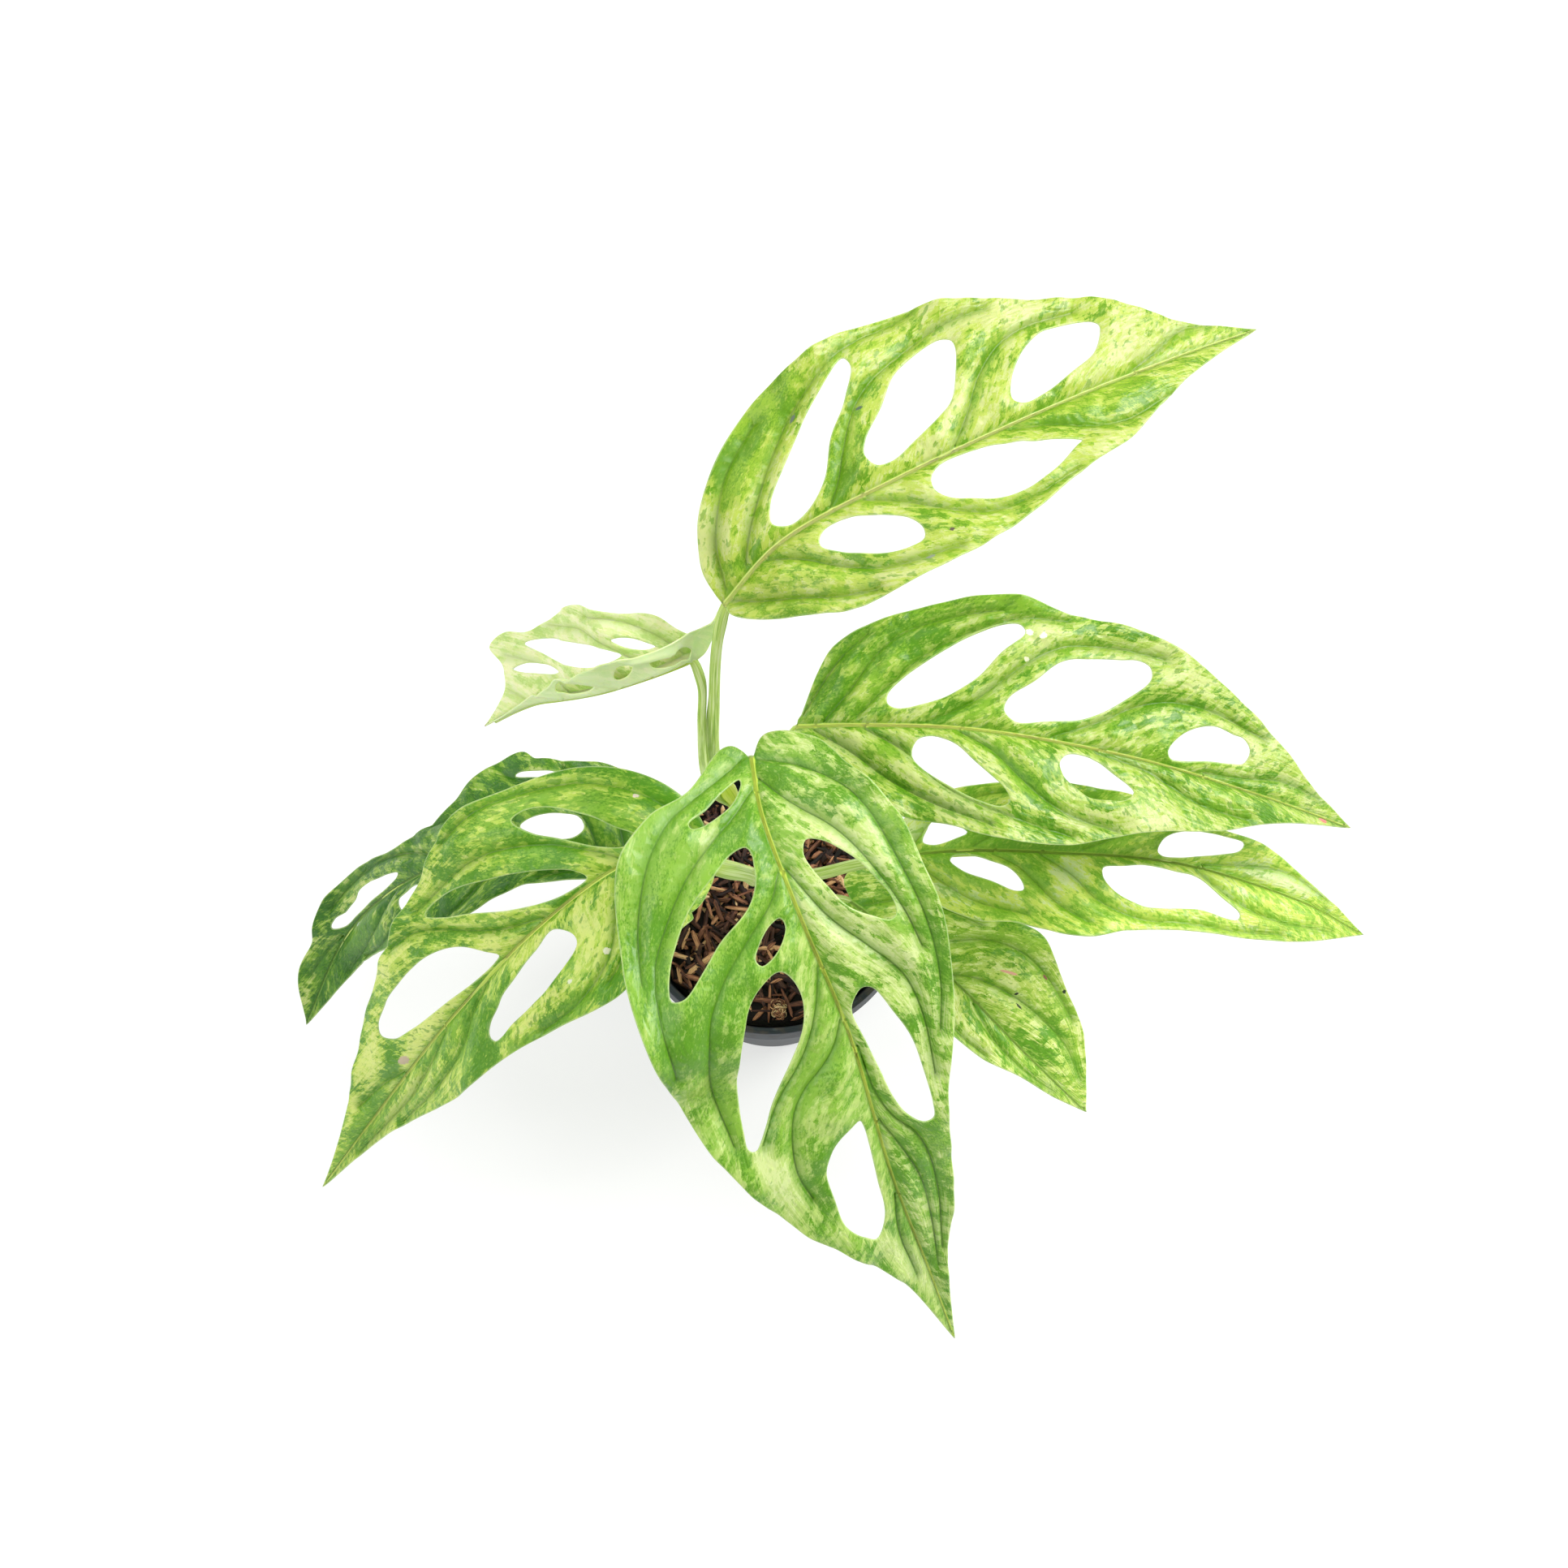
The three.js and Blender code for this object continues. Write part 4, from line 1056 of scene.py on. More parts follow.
def blade_skin(
    name, seed, deep, green, lime, cream, under, rib, lime_at, cream_at, fleck_at,
    streaks=0.5, painted_crease_shade=0.35, glow=0.3, scars=()
):
    """The waxy skin of a blade, green with lime and cream patches and dark flecks that follow its
    side veins. lime_at and cream_at say how light the leaf's own pattern must be for each, and
    fleck_at how dark. streaks and glow say how strong the fine streaks are and how much light comes
    through. Painted shade darkens the blade to a deeper green along each side vein and beside its rib,
    and creases says how dark the thin line of painted shade in each side vein's crease is. Its colours
    are as they look on a screen. scars are small old marks: along, beside, half length, half width,
    turn in degrees, colour."""
    deep, green, lime, cream, under, rib = (
        plain(*colour) for colour in (deep, green, lime, cream, under, rib)
    )
    material, start, shader = new_material(
        name,
        Subsurface_Weight=glow,
        Subsurface_Radius=(0.9, 1.3, 0.3),
        Subsurface_Scale=0.8 * MM,
        Specular_IOR_Level=0.42,
    )
    veinwise, leafwise, near = (start.mark(mark) for mark in ("vein_way", "leaf_way", "near"))
    vein_gap, edge_gap, rib_gap = (near.part(n) for n in range(3))
    own_light, mottle, share = (start.mark("light").part(n) for n in range(3))
    broad = leafwise.noise((0.05, 0.08, 1), seed, detail=2)
    patch = leafwise.noise((0.16, 0.32, 1), seed + 1, detail=5, roughness=0.62, distortion=0.5)
    streak = veinwise.noise((0.26, 0.05, 1), seed + 2, detail=5, roughness=0.6, distortion=0.3)
    hair = veinwise.noise((0.9, 0.09, 1), seed + 5, detail=4, roughness=0.65, distortion=0.4)
    fleck = leafwise.noise((0.5, 1.1, 1), seed + 3, detail=3, roughness=0.6)
    blots = leafwise.noise((0.28, 0.6, 1), seed + 6, detail=3, roughness=0.55)
    fine = leafwise.noise((1.6, 2.8, 1), seed + 4, detail=2)
    tiles = leafwise.node(
        "ShaderNodeTexVoronoi",
        {},
        {"Vector": leafwise.stretched((0.32, 0.62, 1), fleck + fine * 0.5), "Scale": 1.0},
        output=1,
    ).part(0)
    pattern = broad * 0.5 + patch * 0.8 + streak * 0.7 + hair * streaks + fleck * 0.4 + tiles * 0.3
    pattern = pattern - 1.35 - streaks / 2
    light = 0.5 + own_light + pattern * mottle
    tone = (broad * 0.6 + patch * 0.4 + (fine - 0.5) * 0.4).ramp((0.43, deep), (0.53, green))
    tone = (light.rise(lime_at - 0.06, lime_at + 0.07) * 0.85).mix(tone, lime)
    creamy = light + (hair - 0.5) * 0.35 + (fine - 0.5) * 0.3
    tone = (creamy.rise(cream_at - 0.05, cream_at + 0.08) * 0.75).mix(tone, cream)
    dark = blots + (patch - 0.5) * 0.5 + (broad - 0.5) * 0.4
    tone = (dark.rise(fleck_at, fleck_at + 0.05) * 0.65).mix(tone, deep)
    tone = (fleck.rise(0.54, 0.66) * 0.35).mix(tone, green)
    tone = ((1 - fleck.rise(0.34, 0.44)) * 0.35).mix(tone, lime)
    # Painted shade: the blade is darkened to a deeper green along each side vein, darker still in the
    # crease itself, and beside its rib, where the quilted relief is in shade.
    tone = ((1 - vein_gap.rise(0.3, 3.0)) * 0.5).mix(tone, deep)
    tone = ((1 - vein_gap.rise(0.1, 0.6)) * painted_crease_shade).mix(tone, tuple(0.7 * c for c in deep))
    tone = ((1 - rib_gap.rise(0.7, 1.7)) * 0.4).mix(tone, deep)
    tone = ((1 - (rib_gap + share * 0.3).rise(0.3, 0.7)) * (1 - share * 0.25)).mix(tone, rib)
    # A thin pale line along the edges and round the holes: partly the margin's own paler colour, partly
    # painted highlight.
    tone = ((1 - edge_gap.rise(0.05, 0.3)) * 0.45).mix(tone, plain(196, 214, 150))
    for along, beside, long, wide, turn, colour in scars:
        out = abs(beside)
        spot = leafwise.node(
            "ShaderNodeMapping",
            {"vector_type": "TEXTURE"},
            {
                "Vector": leafwise,
                "Location": (*leaf_place(along, out), 0 if beside >= 0 else RIGHT_HALF),
                "Rotation": (0, 0, math.radians(turn) - VEIN_SLANT),
                "Scale": (long, wide, 1),
            },
        )
        reach = spot.node("ShaderNodeVectorMath", {"operation": "LENGTH"}, {0: spot}, output=1)
        tone = (1 - (reach + (fine - 0.5) * 1.2).rise(0.8, 1.1)).mix(tone, plain(*colour))
    tone = (start.mark("under", "Fac") * 0.65).mix(tone, under)
    cells = leafwise.node(
        "ShaderNodeTexVoronoi",
        {"feature": "DISTANCE_TO_EDGE"},
        {"Vector": veinwise.stretched((0.16, 0.2, 1)), "Scale": 1.0},
    )
    feed(
        shader,
        Base_Color=tone,
        Roughness=0.35 + patch * 0.12,
        Normal=bumped(fine * 0.08 + streak * 0.12 + cells.rise(0.0, 0.35) * 0.5, 0.3),
    )
    return material


def grow_leaf(
    name, skin, rib, wave, left, right, stalk, stalk_radius, patches, sheath=0.45, seed=1
):
    """One leaf with its stalk. rib and stalk are places in millimetres, wave the height and the
    length of the waves along its margins. left and right are its halves, traced flat as ways
    along the rib and out from it."""
    blade = Blade(rib, wave, left, right)
    points, faces, marks = blade_mesh(blade, patches, seed)
    stalk_points, stalk_faces, grain, rib_mark = stalk_mesh(blade, stalk, stalk_radius, sheath)
    first, count = len(points), len(stalk_points)
    face_materials = [0] * len(faces) + [1] * len(stalk_faces)
    faces += [tuple(first + corner for corner in face) for face in stalk_faces]
    stalk_marks = {
        "vein_way": grain,
        "leaf_way": grain,
        "near": np.full((count, 3), FAR),
        "light": np.outer(rib_mark, (1, 0, 0)),
        "under": np.zeros(count),
    }
    add_piece(
        name,
        np.vstack([points, stalk_points]),
        faces,
        [skin, stalk_skin(name + "_stalk", seed + 20, *STALK_TONES)],
        face_materials,
        {field: np.concatenate([values, stalk_marks[field]]) for field, values in marks.items()},
    )


grow_leaf(
    "leaf_top",
    blade_skin(
        "lime_leaf",
        3,
        deep=(96, 146, 8), green=(142, 178, 42), lime=(184, 198, 84), cream=(200, 204, 140),
        under=(196, 214, 150), rib=(212, 228, 120), painted_crease_shade=0.25, streaks=0.35, glow=0.45, lime_at=0.44,
        cream_at=0.6, fleck_at=0.63,
        scars=[
            (43, 27.6, 1.4, 0.5, 40, (112, 124, 110)),
            (61, 21.6, 1, 0.5, 0, (84, 104, 76)),
            (65.5, -22, 0.7, 0.5, 0, (92, 84, 62)),
            (57.5, -26, 1.2, 0.7, 0, (140, 150, 130)),
        ],
    ),
    patches=[
        (12, 15, 9, 5, 55, 0.3), (28, 25, 14, 7, 50, -0.2), (40, 35, 12, 5, 25, -0.3),
        (33, 14, 8, 2.5, 50, 0.1), (50, 12, 12, 5, 55, -0.28), (62, 26, 8, 4, 30, -0.1),
        (75, 36, 20, 5, 5, -0.05), (110, 30, 20, 6, -10, 0.2), (92, 12, 10, 8, 50, 0.15),
        (140, 10, 25, 8, -10, 0.15), (93, 12, 5, 2, 45, -0.25), (100, 23, 8, 2, 10, -0.15),
        (162, 4, 12, 2.5, 5, -0.15), (75, 3.5, 14, 2.5, 0, 0.12), (18, -13, 18, 10, 45, -0.12),
        (50, -25, 16, 3, 0, 0.1), (62, -12, 6, 8, 50, 0.05), (90, -22, 20, 3, 5, -0.05),
        (125, -6, 26, 5, 5, -0.22), (125, -16, 20, 2, -12, 0.1),
    ],
    stalk=[(-14.5, 12.5, 161), (-16.2, 15.5, 172), (-15.8, 20, 205), (-14.2, 29, 236)],
    stalk_radius=(1.8, 1.5),
    rib=[(-13, 34, 250), (3, 48, 262), (34, 64, 268), (79, 89, 262), (114, 109, 250), (139, 124, 236)],
    wave=(1.4, 46),
    left=dict(
        fold=(12, 8), curl=(2.5, 2),
        edge=[
            (0, 0), (4, 10), (20, 25), (36, 37), (64, 43), (88, 42), (117, 32), (135, 26), (161, 10),
            (187, 0),
        ],
        holes=[
            [
                (25.5, 5), (28, 10), (35, 16.5), (47, 27), (58, 34), (64, 36.5), (64.5, 33), (58, 25),
                (50, 18), (43, 8), (36, 3), (29, 2),
            ],
            [
                (55.5, 9), (58, 13), (66, 19), (74, 26), (82, 29), (91, 30), (93.5, 28), (90, 19),
                (85, 12.5), (79, 9.5), (70, 6.5), (62, 4.3), (57, 5.5),
            ],
            [
                (100.5, 6), (103, 11), (110, 17), (119, 20.5), (129, 19.5), (135, 17.5), (136, 15.5),
                (130, 9), (122, 6.5), (112, 4), (104, 3.5),
            ],
        ],
        veins=[
            [(4, 2), (11, 11), (18, 18), (25, 25), (34, 32)],
            [(13, 2), (24, 11), (33, 20), (43, 29), (56, 36), (70, 40), (88, 41)],
            [(41, 1), (46, 6), (51, 13), (58, 21), (67, 27), (79, 31), (92, 33.5), (107, 33)],
            [(80, 1), (88, 8), (96, 16), (106, 22), (118, 24), (132, 23)],
            [(140, 1), (150, 3.5), (160, 6.5), (172, 6)],
        ],
    ),
    right=dict(
        fold=(12, 8), curl=(3, 2.5),
        edge=[
            (0, 0), (1, 5), (11, 17), (30, 28), (58, 30), (87, 27), (106, 22), (124, 19), (143, 11),
            (167, 4), (187, 0),
        ],
        holes=[
            [
                (33.5, 8), (36, 4.5), (41, 4), (50, 7.5), (57, 12.5), (59.5, 17), (58.5, 20.5), (54, 21),
                (47, 18.5), (38, 13),
            ],
            [
                (67.5, 8), (69, 4.5), (74, 1.8), (80, 1.8), (90, 4), (101, 9), (108, 12), (111.5, 14),
                (108, 15.5), (98, 19), (86, 19.8), (76, 16.5), (69, 11.5),
            ],
        ],
        veins=[
            [(3, 1), (9, 8), (17, 15), (28, 22), (42, 27)],
            [(18, 1), (27, 8), (36, 16), (48, 23), (66, 27)],
            [(50, 1), (59, 7), (67, 14), (76, 20), (90, 22.5), (106, 21)],
            [(96, 1), (108, 5), (117, 10), (128, 12.5), (146, 10)],
        ],
    ),
    sheath=0.6, seed=3,
)


# leaf_young is the small pale young leaf. Its front half still stands folded up, so that its
# smooth minty underside shows, and its stalk comes out of the sheath of leaf_top's.
grow_leaf(
    "leaf_young",
    blade_skin(
        "young_leaf",
        11,
        deep=(180, 204, 116), green=(198, 216, 140), lime=(220, 226, 164), cream=(232, 230, 196),
        under=(216, 230, 184), rib=(232, 240, 176), painted_crease_shade=0.2, glow=0.7, lime_at=0.46, cream_at=0.6,
        fleck_at=0.74,
    ),
    patches=[
        (30, -19, 30, 6, 0, 0.05), (60, -10, 10, 8, 0, 0.1),
    ],
    stalk=[(-10, 8.5, 150), (-17, 9.5, 160), (-19.2, 12.5, 173), (-19.4, 18, 198), (-19.2, 24, 217)],
    stalk_radius=(1.5, 1.3),
    rib=[(-21, 29, 226), (-33, 22, 230), (-45, 19, 227), (-57, 20, 217), (-68, 22, 205), (-82, 21, 188)],
    wave=(1, 24),
    left=dict(
        fold=(98, 92), curl=(-1, -1),
        edge=[
            (0, 0), (-4, 2), (-7, 9), (-7, 15), (-4, 11), (4, 11.5), (12, 12), (17, 13.5), (20, 14.5),
            (23, 12.5), (30, 10.5), (38, 9), (46, 5.5), (59, 2.5), (83, 0),
        ],
        holes=[
            [(2, 3), (4, 6), (8, 8), (12, 7.6), (14.5, 5.5), (14, 3), (11, 1.7), (6, 1.5)],
            [(18, 6.5), (19.5, 7.8), (22, 7.3), (23.5, 5), (22.6, 3.2), (20, 3.4)],
            [(28.5, 4.5), (32, 7.3), (36.5, 7.5), (41, 6.2), (43.5, 3.8), (41, 2), (36.5, 1.4), (31, 2.2)],
        ],
        veins=[[(3, 1), (10, 8), (18, 12)], [(24, 1), (30, 8), (36, 11)], [(44, 1), (52, 4)]],
    ),
    right=dict(
        fold=(22, 18), curl=(2, 2),
        edge=[
            (0, 0), (-3, 2), (1, 7), (8, 15), (17, 18), (31, 23), (41, 25), (53, 22), (58, 20), (64, 22),
            (70, 20), (67, 12), (70, 6), (83, 0),
        ],
        holes=[
            [(21, 7), (29, 11.5), (39.4, 14.4), (50, 17), (59, 17), (52, 12), (41.1, 7.7), (30, 5.8)],
            [(10, 6), (13, 8.6), (16, 10.6), (20, 12), (23, 12), (20.5, 9.6), (17, 7.5), (13, 6)],
            [(47, 7), (51, 9.3), (55.2, 10.5), (60, 11.6), (64, 11), (60.5, 8.8), (56, 7.5), (51, 6.7)],
        ],
        veins=[
            [(2, 1), (9, 10), (20, 17), (34, 21)],
            [(14, 1), (24, 10), (38, 18), (52, 21)],
            [(44, 1), (54, 9), (66, 16)],
            [(62, 1), (68, 6)],
        ],
    ),
    seed=11,
)


# leaf_right_back is the upper of the two long right-hand leaves: green and lime in even streaks,
# with five long holes.
grow_leaf(
    "leaf_right_back",
    blade_skin(
        "mottled_leaf_right_back",
        21,
        deep=(83, 139, 2), green=(128, 172, 38), lime=(177, 197, 87), cream=(203, 209, 142),
        under=(172, 195, 127), rib=(206, 226, 98), streaks=0.35, glow=0.45, lime_at=0.47, cream_at=0.62,
        fleck_at=0.6,
        scars=[
            (67.5, 30.3, 1.1, 1, 0, (232, 236, 224)),
            (71.5, 30, 1.2, 0.8, 20, (226, 232, 214)),
            (67.5, 22.5, 0.9, 0.7, 0, (226, 226, 196)),
            (174.5, -0.8, 1.6, 1.1, 0, (206, 128, 112)),
        ],
    ),
    patches=[
        (25, 20, 24, 12, 45, -0.12), (63, 38.5, 12, 2.5, 5, -0.4), (72, 30, 8, 6, 40, 0.2),
        (60, 15, 12, 3, 45, 0.15), (110, 30, 25, 8, -5, 0.15), (150, 12, 22, 6, -20, 0.15),
        (35, 3, 12, 1.5, 10, 0.1), (55, 5, 7, 3, 20, -0.25), (112, 6, 8, 4, 45, -0.1),
        (20, -6, 14, 5, 35, 0.2), (40, -17, 16, 4, 35, 0.2), (55, -25, 18, 4, 15, 0.1),
        (28, -8, 5, 2.5, 30, -0.4), (23, -10, 3, 2, 40, -0.4), (68, -13, 14, 3, 45, -0.3),
        (60, -14, 7, 2.5, 50, 0.1), (85, -5, 10, 3, 10, 0.15), (100, -22, 25, 4, -8, 0.22),
        (135, -6, 20, 4, 0, -0.08),
    ],
    stalk=[(-7, 7.5, 138), (0, 9, 146), (4, 14, 165), (6, 19, 178)],
    stalk_radius=(2.2, 1.7),
    rib=[(7, 22, 185), (24, 20, 192), (59, 18, 194), (107, 14, 180), (146, 9, 160), (177, 5, 138)],
    wave=(1.4, 50),
    left=dict(
        fold=(12, 6), curl=(2.5, 2),
        edge=[
            (0, 0), (12, 23), (31, 33), (57, 40), (81, 39), (100, 38), (118, 33), (143, 23), (164, 10),
            (186, 0),
        ],
        holes=[
            [
                (28.5, 6), (28.5, 9), (33, 14), (42, 21), (52, 28), (60, 32), (65, 32.3), (66.5, 30),
                (60, 23), (54, 15), (47, 9.5), (39, 6), (31, 4.5),
            ],
            [
                (62, 6), (63, 10), (70, 16), (78, 23.5), (87, 26.5), (96, 28), (102, 29), (105.5, 27.5),
                (105.5, 23), (99, 16), (92, 10.5), (85, 7), (76, 5), (66, 3.3),
            ],
            [
                (114, 4), (117, 9), (122, 13), (129, 15.5), (136, 15), (140, 15), (142.5, 12),
                (141.5, 7.5), (137, 6), (129, 4.5), (121, 2.5), (116, 2),
            ],
        ],
        veins=[
            [(2, 3), (8, 12), (14, 20), (22, 27)],
            [(9, 1), (17, 10), (24, 20), (33, 28), (46, 33), (60, 36)],
            [(20, 3), (29, 12), (40, 22), (52, 29), (64, 34), (80, 37)],
            [(40, 1), (52, 7), (61, 15), (70, 23), (80, 29), (94, 31.5), (110, 31)],
            [(78, 1), (92, 8), (103, 15), (114, 19), (130, 20), (148, 17)],
            [(128, 1), (142, 3), (156, 6), (172, 5)],
        ],
    ),
    right=dict(
        fold=(8, 6), curl=(3, 3),
        edge=[
            (0, 0), (2, 10), (14, 21), (33, 28), (46, 30), (64, 33), (84, 31), (105, 24), (134, 16),
            (148, 10), (164, 5), (186, 0),
        ],
        holes=[
            [
                (36, 8), (38, 4.5), (42, 3.3), (48, 5.5), (55, 11), (62, 17), (65, 21.5), (63, 23.3),
                (57, 22.3), (50, 19.5), (42, 15), (37, 11),
            ],
            [
                (79.5, 7.5), (81.5, 4.5), (86, 3.3), (92, 4), (97, 7), (102, 10), (103.5, 12), (101, 15),
                (96, 16), (90, 16.3), (85, 14), (81, 11),
            ],
        ],
        veins=[
            [(6, 1), (18, 8), (30, 17), (44, 24), (60, 29)],
            [(22, 1), (34, 8), (44, 17), (56, 23), (70, 26.5), (86, 28)],
            [(50, 1), (60, 6), (67, 12), (75, 18), (85, 22), (100, 24)],
            [(92, 1), (108, 3), (117, 6), (128, 9), (145, 9)],
        ],
    ),
    seed=21,
)


# leaf_right is the lower of the two long right-hand leaves, mostly under the other one. Its lime
# patches are larger and its edge is wavier.
grow_leaf(
    "leaf_right",
    blade_skin(
        "mottled_leaf_right",
        31,
        deep=(115, 170, 30), green=(152, 194, 63), lime=(210, 223, 99), cream=(213, 222, 174),
        under=(187, 213, 139), rib=(150, 190, 56), streaks=0.4, lime_at=0.49, cream_at=0.66, fleck_at=0.61,
    ),
    patches=[
        (6, 9, 7, 4, 40, 0.4), (50, 8, 35, 9, 8, -0.3), (125, 4, 18, 3, 0, 0.35),
        (105, 9, 12, 3, 0, -0.12), (53, -7, 6, 6, 60, 0.4), (15, -13, 8, 3, 35, 0.25),
        (32, -16, 8, 2, 20, 0.15), (50, -17, 5, 4, 30, 0.1), (25, -9, 10, 3, 25, -0.25),
        (43, -9, 5, 5, 60, -0.3), (65, -19, 12, 2, 0, -0.1), (130, -6, 24, 6, 0, -0.02),
    ],
    stalk=[(1, 2, 100), (8, -1, 106), (16, -4, 120), (28, -5, 134)],
    stalk_radius=(2.2, 1.7),
    rib=[(38, -4, 140), (57, -4, 146), (86, -5, 147), (124, -5, 136), (164, -11, 115), (187, -18, 98)],
    wave=(1.2, 44),
    left=dict(
        mottle=0.75, fold=(8, 6), curl=(2.5, 2),
        edge=[
            (0, 0), (3, 10), (14, 17), (35, 21), (54, 21), (76, 18), (100, 13), (118, 12), (139, 6),
            (163, 0),
        ],
        holes=[
            [(8.5, 3), (9, 6), (11.5, 9.5), (15, 9.3), (20, 7), (22.5, 5), (18, 3), (12, 1.8)],
            [(36, 9), (41, 13), (49, 16), (58, 17), (64, 14.5), (60, 10.5), (51, 7.8), (42, 7)],
            [
                (82, 2.5), (83, 5.5), (87, 8.7), (95, 10.8), (103, 11), (110, 10.6), (109.5, 8),
                (104, 5.5), (96, 3), (90, 1.5), (84, 1.2),
            ],
        ],
        veins=[
            [(4, 1), (12, 10), (24, 16), (40, 19)],
            [(24, 1), (34, 7), (46, 13), (62, 17)],
            [(58, 1), (68, 5), (80, 11), (96, 13)],
            [(98, 1), (112, 4), (128, 6.5), (146, 3.5)],
        ],
    ),
    right=dict(
        mottle=0.75, fold=(8, 6), curl=(3, 3),
        edge=[
            (0, 0), (1, 9), (12, 17), (27, 23), (37, 23), (56, 27), (70, 24), (95, 21), (117, 18),
            (140, 12), (163, 0),
        ],
        holes=[
            [
                (17, 3.5), (18, 1.6), (22, 1.4), (29, 3.5), (35, 5.5), (39, 10), (39.5, 13), (37, 13.5),
                (30, 11), (21, 7.5),
            ],
            [
                (63, 8), (63.5, 4.5), (70, 3.5), (78, 2.5), (88, 3), (98, 4), (106, 8), (112.5, 11),
                (112, 13.5), (106, 14.5), (95, 14.3), (84, 16), (75, 16), (67, 12.5),
            ],
        ],
        veins=[
            [(4, 1), (12, 8), (24, 16), (40, 20)],
            [(30, 1), (38, 5), (44, 11), (50, 17), (58, 22)],
            [(45, 1), (54, 7), (61, 14.5), (74, 19.5), (92, 19), (112, 17), (130, 13)],
            [(96, 1), (106, 6), (118, 9), (132, 9), (150, 5)],
        ],
    ),
    seed=31,
)


# leaf_round is the short broad leaf at the front right. It has no holes, and its edge shows as a
# thin pale line.
grow_leaf(
    "leaf_round",
    blade_skin(
        "mottled_leaf_round",
        41,
        deep=(99, 159, 26), green=(156, 196, 60), lime=(206, 223, 111), cream=(236, 242, 173),
        under=(201, 229, 149), rib=(150, 190, 74), streaks=0.9, lime_at=0.5, cream_at=0.66, fleck_at=0.65,
        scars=[
            (53, 13.3, 3.1, 0.45, 28, (236, 178, 160)),
            (60, 10.8, 0.5, 0.6, 0, (40, 52, 36)),
            (64, 21, 1.2, 0.5, 0, (150, 96, 84)),
            (73, 22.5, 0.8, 0.6, 0, (44, 60, 40)),
            (63.5, 8.3, 1.3, 0.35, 0, (48, 62, 40)),
        ],
    ),
    patches=[
        (70, 17, 20, 5, -10, -0.15), (48, 25, 8, 4, 10, -0.15), (52, 12, 14, 4, 20, 0.08),
        (45, -8, 30, 5, 0, 0.15), (75, 8, 16, 3, 0, 0.08), (60, 3, 14, 2.5, 0, -0.06),
    ],
    stalk=[(3.3, -1, 80), (9, -3, 87), (16, -6, 99)],
    stalk_radius=(2, 1.6),
    rib=[(25, -9, 108), (40, -22, 112), (57, -36, 112), (78, -54, 98), (100, -70, 76)],
    wave=(1, 40),
    left=dict(
        fold=(6, 6), curl=(2.5, 2),
        edge=[
            (0, 0), (-6, 4), (-4, 11), (4, 16), (33, 20), (52, 29), (61, 27), (85, 19), (94, 13), (108, 0),
        ],
        holes=[],
        veins=[
            [(4, 1), (12, 9), (24, 15), (38, 19)],
            [(26, 1), (34, 9), (43, 17), (54, 21.5), (68, 21.5), (82, 18)],
            [(41, 1), (47, 5), (58, 9), (70, 11), (86, 10.5), (99, 6)],
        ],
    ),
    right=dict(
        fold=(6, 6), curl=(2.5, 2),
        edge=[
            (0, 0), (-4, 5), (2, 11), (14, 13), (32, 15), (54, 13), (67, 11), (79, 7), (94, 4), (108, 0),
        ],
        holes=[],
        veins=[
            [(4, 1), (14, 7), (28, 12), (42, 14)],
            [(26, 1), (38, 7), (52, 11), (66, 10)],
            [(52, 1), (66, 4.5), (80, 4.5), (94, 2.5)],
        ],
    ),
    seed=41,
)


